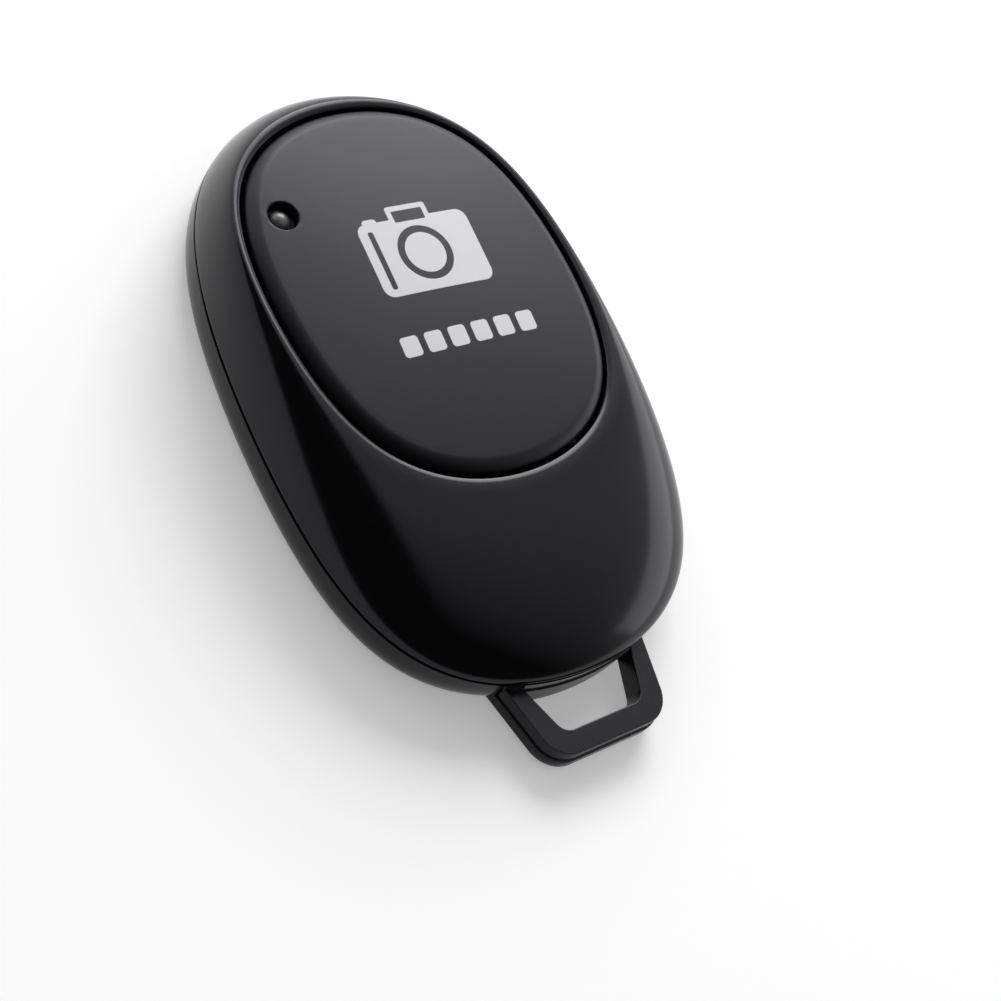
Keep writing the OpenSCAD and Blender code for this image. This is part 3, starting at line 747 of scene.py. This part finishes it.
def solder_mask(name, colour, plan):
    """Green mask over glass-epoxy board, copper tracks paler through it, and painted shade: a black band
    under the key's gap
    """
    shader = Shader(name)
    x, y, _ = shader.axes()
    weave = shader.noise(0.35, 2.0, 0.5, (1, 3, 1))
    track_x = (0.5 - (x.to_and_fro(1.6) - 0.8) * 6).clamp()
    track_y = (0.5 - (y.to_and_fro(2.2) - 1.2) * 6).clamp()
    tracks = track_x.at_least(track_y) * shader.noise(4.0, 1.0).past(0.45, 8)
    mask = shader.blend(weave * 0.3, colour, shaded(colour, 0.7))
    base = shader.blend(tracks * 0.6, mask, shaded(colour, 1.9, 0.02))
    # Painted shade: a ring round the key's outline is darkened to black and made rougher, standing in for the
    # shade in the gap
    across, along = x / (plan.key[0].x / MM), (y - plan.key_y / MM) / (OPENING_LENGTH / 2)
    gap_shade = (across * across + along * along).past(0.8, 12)
    base = shader.blend(gap_shade, base, BOARD_GAP_SHADE)
    roughness = BOARD_GLOSS + (weave - 0.5) * 0.1 + gap_shade * 0.6
    return shader.finish(base, roughness, shader.bump(tracks + weave * 0.15, 0.02))


def soft_frosted(name, colour):
    """Frosted clear plastic that passes the lamp's light"""
    shader = Shader(name)
    frost = shader.noise(0.06, 2.0)
    clear = {"IOR": 1.49, "Transmission Weight": 0.25}
    return shader.finish(colour, FROST_GLOSS + (frost - 0.5) * 0.2, shader.bump(frost, 0.002), clear)


class Print:
    """Flat shapes printed on the key, in its own leaning axes, in millimetres"""

    def __init__(self, shader, centre, turn, lean):
        x, y, _ = shader.axes()
        x, y = x - centre[0], y - centre[1]
        along, up = arm(turn), arm(90 - lean)
        area = along[0] * up[1] - along[1] * up[0]
        self.u = x * (up[1] / area) - y * (up[0] / area)
        self.v = y * (along[0] / area) - x * (along[1] / area)

    def block(self, centre, half, radius):
        """Distance to a rounded rectangle, negative inside"""
        du = abs(self.u - centre[0]) - (half[0] - radius)
        dv = abs(self.v - centre[1]) - (half[1] - radius)
        past_u, past_v = du.at_least(0), dv.at_least(0)
        return (past_u * past_u + past_v * past_v).root() + du.at_least(dv).at_most(0) - radius

    def disc(self, centre, radius):
        du, dv = self.u - centre[0], self.v - centre[1]
        return (du * du + dv * dv).root() - radius

    def row(self, count, pitch, half, radius):
        """Distance to the nearest of a row of rounded rectangles about the middle"""
        places = [(k - (count - 1) / 2) * pitch for k in range(count)]
        return nearest([self.block((place, 0), half, radius) for place in places])


def nearest(distances):
    """The least of several distances: the shapes joined"""
    least = distances[0]
    for distance in distances[1:]:
        least = least.at_most(distance)
    return least


def ink_mask(distance):
    """Full inside a shape, with an edge a few hundredths of a millimetre soft"""
    return (0.5 - distance * INK_SHARPNESS).clamp()


def key_material(looks):
    """Satin key with its printed camera sign and a row of plain marks below it"""
    shader = Shader("key_satin_print")
    sign = Print(shader, PRINT_CENTRE, PRINT_TURN, PRINT_LEAN)
    solid = nearest([sign.block(*shape) for shape in SIGN_SOLID])
    lens_out, lens_in = (ink_mask(sign.disc(SIGN_LENS, radius)) for radius in SIGN_RING)
    hollow, slot = (ink_mask(sign.block(*shape)) for shape in SIGN_BARE)
    bare = hollow.at_least(slot).at_least(lens_out * (1 - lens_in))
    marks = Print(shader, MARKS_CENTRE, MARKS_TURN, PRINT_LEAN)
    row = marks.row(MARKS_COUNT, MARKS_PITCH, MARKS_HALF, MARKS_ROUND)
    ink = (ink_mask(solid) * (1 - bare)).at_least(ink_mask(row))
    _, _, z = shader.axes()
    ink = ink * z.past(KEY_PRINT_LOW, 4)
    grain, cloud = shader.noise(*KEY_GRAIN), shader.noise(*KEY_CLOUD)
    plain = shader.blend((cloud - 0.4).clamp() * 0.3, looks.key, shaded(looks.key, 0.88))
    base = shader.blend(ink, plain, looks.ink)
    roughness = KEY_GLOSS + (grain - 0.5) * 0.1 + ink * 0.1
    return shader.finish(base, roughness, shader.bump(grain * 0.35 + ink, INK_DEPTH), KEY_SHEEN)


def loop_and_shell(looks):
    """Rear shell: glossy like the front one, and finely matte on the lanyard loop"""
    shader = Shader("rear_shell_plastic")
    _, y, z = shader.axes()
    on_loop = y.past(LOOP_START_Y, -3) * z.past(LOOP_HIGH + 0.2, -8)
    wave, grain = shader.noise(*WAVE), shader.noise(*SHELL_GRAIN)
    base = shader.blend(on_loop, dusty(shader, looks.shell), looks.loop)
    back = z.past(0.12, -12)
    roughness = SHELL_GLOSS + (wave - 0.5) * 0.05 + on_loop * LOOP_MATTE + back * BACK_MATTE
    roughness = roughness + (grain - 0.5) * 0.06
    relief = grain * (0.15 + on_loop * 0.6 + back * 0.5)
    return shader.finish(base, roughness, shader.bump(relief, 0.006), SHELL_SHEEN)


def cover_material(looks):
    """Battery cover: fine spark-eroded texture on its face"""
    shader = Shader("cover_plastic")
    grain, rub = shader.noise(*COVER_GRAIN), shader.noise(*COVER_RUB)
    base = shader.blend((rub - 0.4).clamp() * 0.4, shaded(looks.shell, 1.1), shaded(looks.shell, 2.2))
    return shader.finish(base, COVER_GLOSS + (grain - 0.5) * 0.12, shader.bump(grain, 0.006), SHELL_SHEEN)


# ---------------------------------------------------------------- operators
class REMOTE_OT_front_shell(bpy.types.Operator):
    """Builds the front shell: a rounded frame round the key's opening"""

    bl_idname = "remote.front_shell"
    bl_label = "Front shell"

    def execute(self, context):
        plan = Plan(context)
        sizes = plan.sizes
        top = sizes.crest_height
        soft = RIM_ROUND * MM
        rings = [
            ring(plan.seam, soft, plan.front_rim),
            ring(plan.seam, ROUND_SHARE * soft, plan.front_rim + ROUND_SHARE * soft),
        ]
        low = math.asin((soft / (top - plan.front_rim)) ** (FRONT_POWER / 2))
        rings += [plan.skin(height, inward) for height, inward in rise(FRONT_POWER, SIDE_STEPS, low)]
        for drop, inward in roll(CREST_POWER, CREST_STEPS):
            bevel = inset(plan.crest, BEVEL_WIDTH * MM * inward)
            rings.append(plan.crowned(bevel, top - CREST_DROP * MM * drop))
        rings.append(level(plan.bore, plan.lip))
        hollow = self.lip_hollow(plan)
        inner = ring(plan.seam, WALL * MM, plan.rabbet)
        for height, inward in reversed(rise(FRONT_POWER, INSIDE_STEPS)):
            rings.append(plan.between(inner, hollow, height, inward))
        rings += [ring(plan.seam, RABBET_SKIN * MM, height) for height in (plan.rabbet, plan.front_rim)]
        rings.append(rings[0])
        bm = bmesh.new()
        loft(bm, rings)
        colour = context.scene.remote_looks.shell
        material = moulded_plastic("front_shell_plastic", colour, SHELL_GLOSS, SHELL_GRAIN[0], 0.0008)
        make_piece(tidy(bm), "front_shell_skin", "housing", material, "front_shell", 40)
        return {"FINISHED"}

    def lip_hollow(self, plan):
        """The edge of the hollow under the lip, kept clear of the outer skin"""
        share = (plan.lip - plan.front_rim) / (plan.sizes.crest_height - plan.front_rim)
        skin = plan.skin(share, 1 - (1 - share**FRONT_POWER) ** (1 / FRONT_POWER))
        outer = []
        for here, out, beyond in zip(plan.bore, inset(plan.bore, -MM), skin):
            room = (beyond.xy - here).length - LIP_WALL * MM
            outer.append(here + (out - here) / MM * min(LIP_REACH * MM, room))
        return level(outer, plan.lip)


class REMOTE_OT_key(bpy.types.Operator):
    """Builds the key: crowned face with a soft roll, skirt, hooks, nib and lamp well"""

    bl_idname = "remote.key"
    bl_label = "Key"

    def execute(self, context):
        plan = Plan(context)
        sizes = plan.sizes
        centre, well = plan.key_middle, plan.well
        skirt = inset(plan.key, KEY_SKIRT * MM)
        rings = [
            level(skirt, KEY_UNDER * MM),
            level(skirt, (KEY_SKIRT_LOW + KEY_LEAD) * MM),
            ring(plan.key, (KEY_SKIRT - KEY_LEAD / 2) * MM, KEY_SKIRT_LOW * MM),
            ring(plan.key, RIM_ROUND * MM, KEY_SKIRT_LOW * MM),
            level(plan.key, (KEY_SKIRT_LOW + RIM_ROUND) * MM),
        ]
        edge = inset(plan.key, sizes.key_roll)
        for height, inward in rise(KEY_ROLL_POWER, ROLL_STEPS):
            outline = inset(plan.key, sizes.key_roll * inward)
            rings.append(self.on_face(plan, outline, KEY_ROLL_DROP * MM * (1 - height)))
        for k in range(1, KEY_RINGS):
            outline = [centre + (p - centre) * (1 - k / KEY_RINGS) for p in edge]
            rings.append(self.on_face(plan, outline, 0))
        bm = bmesh.new()
        first, last = loft(bm, rings)
        bmesh.ops.edgeloop_fill(bm, edges=first)
        top = bmesh.ops.extrude_edge_only(bm, edges=last)["geom"]
        tip = [g for g in top if isinstance(g, bmesh.types.BMVert)]
        height = plan.key_edge + sizes.key_crown - plan.fall(plan.key_y)
        bmesh.ops.pointmerge(bm, verts=tip, merge_co=(0, plan.key_y, height))
        rim = plan.face_height(well)
        floor = plan.key_edge - WELL_DEPTH * MM
        under = (KEY_UNDER + JOIN_DEPTH) * MM
        radius, soft, over = sizes.well_radius, WELL_ROUND * MM, CUT_OVER * MM
        flare = [(0, floor)] + [(radius + out * MM, floor + up * MM) for out, up in WELL_FOOT]
        for k in range(7):
            turn = math.pi / 2 * k / 6
            flare.append((radius + soft * (1 - math.cos(turn)), rim - soft * (1 - math.sin(turn))))
        flare += [(radius + soft, rim + over), (0, rim + over)]
        bore = sizes.guide_radius + RUN_GAP * MM
        foot_top = (GUIDE_FOOT_LOW + GUIDE_FOOT_HEIGHT) * MM
        hook_low = (KEY_SKIRT_LOW + HOOK_LIFT) * MM
        hook_top = hook_low + HOOK_HEIGHT * MM
        joined = [prism(hook, hook_low, hook_top) for hook in self.hooks(plan)]
        joined.append(rod(NIB_RADIUS * MM, NIB_LOW * MM, under, centre))
        joined.append(rod(radius + BOSS_WALL * MM, foot_top, under, well))
        cutter = self.leaning(turned(flare, well), plan, well, rim)
        body = combine(tidy(bm), joined, [cutter, rod(bore, foot_top - over, floor + BORE_OVER * MM, well)])
        material = key_material(context.scene.remote_looks)
        even_out(make_piece(body, "key_cap_printed", "key", material, "key_cap", 38))
        return {"FINISHED"}

    def leaning(self, bm, plan, well, rim):
        """Turns the well's cutter about its mouth until it stands square to the crowned face"""
        step = 0.2 * MM
        slopes = [
            (plan.face_height(well + side) - plan.face_height(well - side)) / (2 * step)
            for side in (Vector((step, 0)), Vector((0, step)))
        ]
        turn = Vector((0, 0, 1)).rotation_difference(Vector((-slopes[0], -slopes[1], 1)))
        bmesh.ops.rotate(bm, verts=bm.verts, cent=(well.x, well.y, rim), matrix=turn.to_matrix())
        return bm

    def on_face(self, plan, outline, drop):
        """An outline laid on the crowned face, or below it by a drop"""
        centre = plan.key_middle
        laid = []
        for point, outer in zip(outline, inset(plan.key, KEY_FACE_IN * MM)):
            share = (point - centre).length / (outer - centre).length
            crown = plan.sizes.key_crown * (1 - share * share)
            laid.append(Vector((point.x, point.y, plan.key_edge + crown - plan.fall(point.y) - drop)))
        return laid

    def hooks(self, plan):
        """Plan outlines of the hooks that hold the key under the lip"""
        outer, inner = inset(plan.bore, -HOOK_REACH * MM), inset(plan.key, HOOK_ROOT * MM)
        found = []
        for turn in HOOK_TURNS:
            way, outs = arm(turn), [point - plan.key_middle for point in plan.key]
            aside = {k: way.cross(out) for k, out in enumerate(outs) if way.dot(out) > 0}
            picked = sorted((k for k in aside if abs(aside[k]) < HOOK_HALF * MM), key=aside.get)
            found.append([outer[k] for k in picked] + [inner[k] for k in reversed(picked)])
        return found


class REMOTE_OT_light_guide(bpy.types.Operator):
    """Builds the frosted dome of the lamp in its well"""

    bl_idname = "remote.light_guide"
    bl_label = "Light guide"

    def execute(self, context):
        plan = Plan(context)
        sizes = plan.sizes
        radius, soft, wide = sizes.guide_radius, EDGE_SOFT * MM, GUIDE_FOOT_RADIUS * MM
        top = plan.key_edge - GUIDE_SUNK * MM + radius / 2
        foot = GUIDE_FOOT_LOW * MM
        foot_top = foot + GUIDE_FOOT_HEIGHT * MM
        profile = [(0, foot), (wide - soft, foot), (wide, foot + soft), (wide, foot_top), (radius, foot_top)]
        ball = radius * 5 / 4
        start = math.acos(radius / ball)
        for k in range(13):
            turn = start + (math.pi / 2 - start) * k / 12
            profile.append((ball * math.cos(turn), top - ball + ball * math.sin(turn)))
        profile[-1] = (0, top)
        bm = turned(profile, plan.well, 72)
        material = soft_frosted("light_guide_frosted", GUIDE_COLOUR)
        make_piece(bm, "lamp_dome", "key", material, "light_guide", 40)
        return {"FINISHED"}


class REMOTE_OT_rear_shell(bpy.types.Operator):
    """Builds the rear shell: rounded back, tongue, loop, battery opening and inner posts"""

    bl_idname = "remote.rear_shell"
    bl_label = "Rear shell"

    def execute(self, context):
        plan = Plan(context)
        sizes = plan.sizes
        soft = EDGE_SOFT * MM
        start = math.asin((soft / plan.rim) ** (BACK_POWER / 2))
        rings = []
        for height, inward in reversed(rise(BACK_POWER, BACK_STEPS, start)):
            rings.append(ring(plan.seam, sizes.back_inset * inward, plan.rim * (1 - height)))
        rings[-1] = level(rings[-1], plan.rim - soft)
        rings.append(ring(plan.seam, soft, plan.rim))
        tongue = inset(plan.seam, TONGUE_INSET * MM)
        hollow = inset(plan.seam, WALL * MM)
        rings += [level(tongue, plan.rim), level(tongue, plan.tongue_top), level(hollow, plan.tongue_top)]
        for height, inward in rise(BACK_POWER, INSIDE_STEPS):
            drop = (plan.rim - FLOOR * MM) * height
            rings.append(ring(hollow, (sizes.back_inset - FLOOR / 2 * MM) * inward, plan.rim - drop))
        places = self.screw_places(plan)
        top = (BOARD_LOW + CUT_OVER) * MM
        pilots = [rod(PILOT_RADIUS * MM, PILOT_LOW * MM, top, place, 32) for place in places]
        joined = self.inner_parts(plan, places) + self.loop_parts(plan)
        body = combine(closed(rings), joined, pilots + self.battery_opening(plan))
        material = loop_and_shell(context.scene.remote_looks)
        even_out(make_piece(body, "rear_shell_skin", "housing", material, "rear_shell", 34))
        return {"FINISHED"}

    def inner_parts(self, plan, places):
        """The cell's cradle with its ribs, and the posts of the board's screws"""
        inner = LUG_RADIUS + CRADLE_GAP
        outer = inner + CRADLE_WALL
        low, high = (inner, ROOT_LOW), (inner, CRADLE_TOP)
        made = [turned(in_mm([low, (outer, ROOT_LOW), (outer, CRADLE_TOP), high, low]), plan.hatch, 120)]
        for turn in RIB_TURNS:
            along, side = arm(turn, MM), arm(turn + 90, RIB_HALF * MM)
            near, far = plan.hatch + along * RIB_IN, plan.hatch + along * (inner + RIB_ROOT)
            outline = [near - side, far - side, far + side, near + side]
            made.append(prism(outline, RIB_LOW * MM, CRADLE_TOP * MM))
        return made + [rod(POST_RADIUS * MM, ROOT_LOW * MM, BOARD_LOW * MM, place, 48) for place in places]

    def screw_places(self, plan):
        pair = [(side * MM, plan.top_y - SCREW_IN * MM) for side in (-SCREW_SIDE, SCREW_SIDE)]
        return [*pair, (0, plan.hatch.y - LONE_SCREW * MM)]

    def loop_parts(self, plan):
        """The lanyard loop, open through its window, with a parting step round its outside"""
        body, far = plan.end_y + WALL * MM, plan.end_y - plan.sizes.loop_reach
        root = plan.end_y + LOOP_ANCHOR * MM
        window_far = far + LOOP_BAR * MM
        root_half = LOOP_END / 2 + (LOOP_ROOT - LOOP_END) / 2 * (root - far) / (body - far)
        share = (root - window_far) / (body - window_far)
        window_half = WINDOW_END / 2 + (WINDOW_ROOT - WINDOW_END) / 2 * share

        def frame_plan(d_out, d_in):
            """The loop's plan, drawn in by d_out outside and by d_in round the window"""
            half = [
                (root_half * MM - d_out, root, 0),
                (LOOP_END / 2 * MM - d_out, far + d_out, LOOP_CORNER * MM - d_out),
                (WINDOW_END / 2 * MM + d_in, window_far - d_in, WINDOW_CORNER * MM + d_in),
                (window_half * MM + d_in, root, 0),
            ]
            left, right = [(-x, y, r) for x, y, r in half], half[::-1]
            loop = left[:2] + right[2:] + right[:2] + left[2:]
            return rounded_corners([Vector((x, y)) for x, y, _ in loop], [r for _, _, r in loop], 12)

        low, high = LOOP_LOW * MM, LOOP_HIGH * MM
        soft, step = LOOP_ROUND * MM, LOOP_STEP * MM
        part = ROUND_SHARE * soft
        step_z = low + (high - low) * LOOP_STEP_SHARE
        layers = [
            (frame_plan(soft, soft), low),
            (frame_plan(part, part), low + part),
            (frame_plan(0, 0), low + soft),
            (frame_plan(0, 0), step_z - 0.5 * soft),
            (frame_plan(0.15 * soft, 0), step_z - 0.15 * soft),
            (frame_plan(0.5 * soft, 0), step_z),
            (frame_plan(step, 0), step_z + 0.1 * soft),
            (frame_plan(step, 0), high - soft),
            (frame_plan(step + part, part), high - part),
            (frame_plan(step + soft, soft), high),
        ]
        ledge, wall = (
            [p for p in inset(plan.seam, away * MM) if p.y < plan.middle_y and abs(p.x) < WEB_HALF * MM]
            for away in (-WEB_OUT, WEB_IN)
        )
        return [slab(layers), prism(ledge + wall[::-1], low + WEB_LOW_IN * MM, high - WEB_TOP_IN * MM)]

    def battery_opening(self, plan):
        """The cover's recess and opening, the entries of its lugs and the two dots that it points to"""
        hatch = plan.hatch
        recess, depth = COVER_RADIUS + RECESS_GAP, COVER_DISC + RUN_GAP
        mouth = [(recess + out, height) for out, height in RECESS_MOUTH]
        cut = in_mm([(0, -CUT_OVER)] + mouth + [(recess, depth), (0, depth)])
        through = rod((HUB_RADIUS + RECESS_GAP) * MM, -CUT_OVER * MM, (FLOOR + CUT_OVER) * MM, hatch, 144)
        made = [turned(cut, hatch, 144), through]
        for k in range(LUG_COUNT):
            turn = ENTRY_TURN + 360 / LUG_COUNT * k
            outline = sector(HUB_RADIUS / 2 * MM, (LUG_RADIUS + RECESS_GAP) * MM, turn, ENTRY_ARC, hatch)
            made.append(prism(outline, -CUT_OVER / 2 * MM, (FLOOR + RUN_GAP) * MM))
        for turn, size in DOTS:
            spot = hatch + arm(turn, (COVER_RADIUS + DOT_REACH) * MM)
            dot = ((0, -CUT_OVER / 2), (size, -CUT_OVER / 2), (size, 0), (size * 0.7, 0.16), (0, DOT_DEPTH))
            made.append(turned(in_mm(dot), spot, 32))
        return made


class REMOTE_OT_battery_cover(bpy.types.Operator):
    """Builds the battery cover: disc, hub, bayonet lugs and coin slot"""

    bl_idname = "remote.battery_cover"
    bl_label = "Battery cover"

    def execute(self, context):
        hatch = Plan(context).hatch
        lugs, taken = [], [self.coin_slot(hatch)]
        for k in range(LUG_COUNT):
            outline = sector((HUB_RADIUS - 1) * MM, LUG_RADIUS * MM, 360 / LUG_COUNT * k, LUG_ARC, hatch)
            lugs.append(prism(outline, LUG_LOW * MM, LUG_TOP * MM))
        for turn in DIMPLE_TURNS:
            taken.append(turned(in_mm(DIMPLE_PROFILE), hatch + arm(turn, DIMPLE_REACH * MM), 40))
        corners = ((0, POINTER_TIP), (-POINTER_HALF, POINTER_BASE), (POINTER_HALF, POINTER_BASE))
        pointer = [hatch + Vector(corner) * MM for corner in corners]
        taken.append(prism(pointer, -CUT_OVER / 2 * MM, POINTER_DEPTH * MM))
        body = combine(turned(in_mm(COVER_PROFILE), hatch, 144), lugs, taken)
        material = cover_material(context.scene.remote_looks)
        make_piece(body, "battery_cover_disc", "cover", material, "battery_cover", 30)
        return {"FINISHED"}

    def coin_slot(self, hatch):
        """A slot with rounded corners and a bevelled mouth"""
        long, wide = SLOT_HALF
        corners = [Vector(c) * MM for c in ((-long, -wide), (long, -wide), (long, wide), (-long, wide))]
        outline = [p + hatch for p in rounded_corners(corners, [SLOT_CORNER * MM] * 4, 8)]
        return slab([(inset(outline, away * MM), height * MM) for away, height in SLOT_LAYERS])


class REMOTE_OT_inner_parts(bpy.types.Operator):
    """Gives the battery, board, switch and small parts inside their finishes"""

    bl_idname = "remote.inner_parts"
    bl_label = "Inner parts"

    def execute(self, context):
        steel = plated_metal("cell_nickel", (0.62, 0.63, 0.64), 0.28, (1, 14, 1))
        tin = plated_metal("tin_plate", (0.65, 0.65, 0.66), 0.32, (6, 1, 1))
        spring = plated_metal("spring_bronze", (0.6, 0.5, 0.25), 0.3, (1, 8, 1))
        black = ceramic_body("moulding_compound", (0.02, 0.02, 0.022), 0.6)
        finishes = {
            "cell_can": steel,
            "cell_cap": steel,
            "cell_gasket": moulded_plastic("gasket_plastic", (0.27, 0.29, 0.31), 0.5, 0.1, 0.002),
            "negative_contact": spring,
            "positive_contact": spring,
            "circuit_board": solder_mask("board_mask", (0.02, 0.13, 0.06), Plan(context)),
            "board_screws": plated_metal("screw_zinc", (0.35, 0.36, 0.38), 0.4),
            "switch_base": black,
            "bluetooth_chip": black,
            "resistors": black,
            "switch_terminals": tin,
            "switch_cover": tin,
            "clock_crystal": tin,
            "switch_plunger": moulded_plastic("plunger_nylon", (0.75, 0.72, 0.62), 0.45, 0.12, 0.002),
            "status_led": soft_frosted("led_resin", (0.55, 0.57, 0.6)),
            "capacitors": ceramic_body("capacitor_ceramic", (0.45, 0.28, 0.14), 0.45),
            "antenna_inductor": ceramic_body("inductor_ceramic", (0.18, 0.24, 0.3), 0.4),
            "antenna_trace": plated_metal("bare_copper", (0.72, 0.36, 0.16), 0.35, (3, 1, 1), 0.4),
        }
        for name, material in finishes.items():
            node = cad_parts[name]
            node.data.materials.clear()
            node.data.materials.append(material)
        self.snap_dome(spring)
        return {"FINISHED"}

    def snap_dome(self, material):
        """The switch's sprung dome, as a thin arched sheet at rest"""
        low, high = (Vector(corner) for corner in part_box("switch_dome"))
        sheet = DOME_SHEET * MM
        rim, crown = (high.x - low.x) / 2, high.z - low.z - sheet
        ball = (rim * rim + crown * crown) / (2 * crown)
        spread = [rim * k / 16 for k in range(17)]
        arch = [(r, low.z + crown - ball + math.sqrt(ball * ball - r * r)) for r in spread]
        middle = (low + high) / 2
        bm = turned([(r, z + sheet) for r, z in arch] + arch[::-1], middle.xy, 72)
        dome = make_piece(bm, "snap_dome", "housing", material, "switch_dome")
        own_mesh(dome)


class REMOTE_OT_stage(bpy.types.Operator):
    """Sets the camera, the pale floor and the studio lights"""

    bl_idname = "remote.stage"
    bl_label = "Stage"

    def execute(self, context):
        scene = context.scene
        scene.view_settings.view_transform = "Standard"
        self.set_camera(scene)
        self.lay_floor(scene)
        self.light_room(scene)
        for name, aim, size, power in LAMPS:
            self.hang_lamp(scene, name, Vector(aim).normalized(), size, power)
        return {"FINISHED"}

    def set_camera(self, scene):
        lens = bpy.data.cameras.new("photo_camera")
        lens.sensor_width = CAMERA_SENSOR
        lens.lens = CAMERA_LENS
        lens.clip_start, lens.clip_end = 0.01, 10
        camera = bpy.data.objects.new("photo_camera", lens)
        scene.collection.objects.link(camera)
        right, down, ahead = (Vector(row) for row in CAMERA_AXES)
        turn = Matrix((right, -down, -ahead)).transposed()
        camera.matrix_world = Matrix.Translation(CAMERA_PLACE) @ turn.to_4x4()
        scene.camera = camera

    def lay_floor(self, scene):
        bm = bmesh.new()
        bmesh.ops.create_grid(bm, x_segments=1, y_segments=1, size=FLOOR_HALF)
        bmesh.ops.translate(bm, verts=bm.verts, vec=(0, 0, -FLOOR_DROP))
        floor = loose_object(bm, "pale_floor")
        shader = Shader("pale_floor")
        seen = shader.ray("Camera", "Glossy", "Transmission")
        matte = shader.add("BsdfDiffuse", None, {"Color": (*FLOOR_COLOUR, 1)})
        glow = shader.add("Emission", None, {"Color": (1, 1, 1, 1), "Strength": seen * FLOOR_GLOW})
        both = shader.add("AddShader", None, {0: matte.outputs[0], 1: glow.outputs[0]})
        shader.add("OutputMaterial", None, {0: both.outputs[0]})
        floor.data.materials.append(shader.owner)

    def light_room(self, scene):
        scene.world = bpy.data.worlds.new("studio")
        room = Shader("studio", scene.world)
        facing = room.add("SeparateXYZ", None, {0: room.add("TexCoord").outputs["Generated"]})
        east, north = Field(room, facing.outputs[0]), Field(room, facing.outputs[1])
        wall = east.past(EAST_EDGE, 1 / EAST_BLUR)
        fade = (EAST_GLOW + (north + 0.1).at_most(0) * (EAST_FADE[0] - east * EAST_FADE[1])).at_least(0)
        back = (north + east.at_most(0) * NORTH_LEAN).past(NORTH_EDGE, 1 / NORTH_BLUR)
        glow = (wall * fade).at_least(back * NORTH_GLOW) + ROOM_DARK
        camera, mirror = room.ray("Camera"), room.ray("Glossy", "Transmission")
        strength = camera + (1 - camera) * (mirror * glow + (1 - mirror) * ROOM_FILL)
        air = room.add("Background", None, {"Color": (1, 1, 1, 1), "Strength": strength})
        room.add("OutputWorld", None, {0: air.outputs[0]})

    def hang_lamp(self, scene, name, aim, size, power):
        light = bpy.data.lights.new(name, "AREA")
        light.shape = "RECTANGLE"
        light.size, light.size_y = size
        light.energy = power
        lamp = bpy.data.objects.new(name, light)
        scene.collection.objects.link(lamp)
        lamp.location = aim * LAMP_DISTANCE
        lamp.rotation_mode = "QUATERNION"
        lamp.rotation_quaternion = aim.to_track_quat("Z", "Y")
        lamp.visible_camera = False


class REMOTE_PT_panel(bpy.types.Panel):
    """The remote's sizes, colours and steps"""

    bl_idname = "REMOTE_PT_panel"
    bl_label = "Camera shutter remote"
    bl_space_type = "VIEW_3D"
    bl_region_type = "UI"
    bl_category = "Remote"

    def draw(self, context):
        layout = self.layout
        for group in (context.scene.remote_sizes, context.scene.remote_looks):
            box = layout.box()
            for name in group.__annotations__:
                box.prop(group, name)
        for step in STEPS:
            layout.operator(step.bl_idname)


# ---------------------------------------------------------------- steps and registration
STEPS = (
    REMOTE_OT_stage,
    REMOTE_OT_front_shell,
    REMOTE_OT_key,
    REMOTE_OT_light_guide,
    REMOTE_OT_rear_shell,
    REMOTE_OT_battery_cover,
    REMOTE_OT_inner_parts,
)
CLASSES = (RemoteSizes, RemoteLooks, *STEPS, REMOTE_PT_panel)


def register():
    for made in CLASSES:
        bpy.utils.register_class(made)
    bpy.types.Scene.remote_sizes = PointerProperty(type=RemoteSizes)
    bpy.types.Scene.remote_looks = PointerProperty(type=RemoteLooks)


def unregister():
    del bpy.types.Scene.remote_looks
    del bpy.types.Scene.remote_sizes
    for made in reversed(CLASSES):
        bpy.utils.unregister_class(made)


def main():
    register()
    for step in STEPS:
        group, name = step.bl_idname.split(".")
        getattr(getattr(bpy.ops, group), name)()


if __name__ == "__main__":
    main()
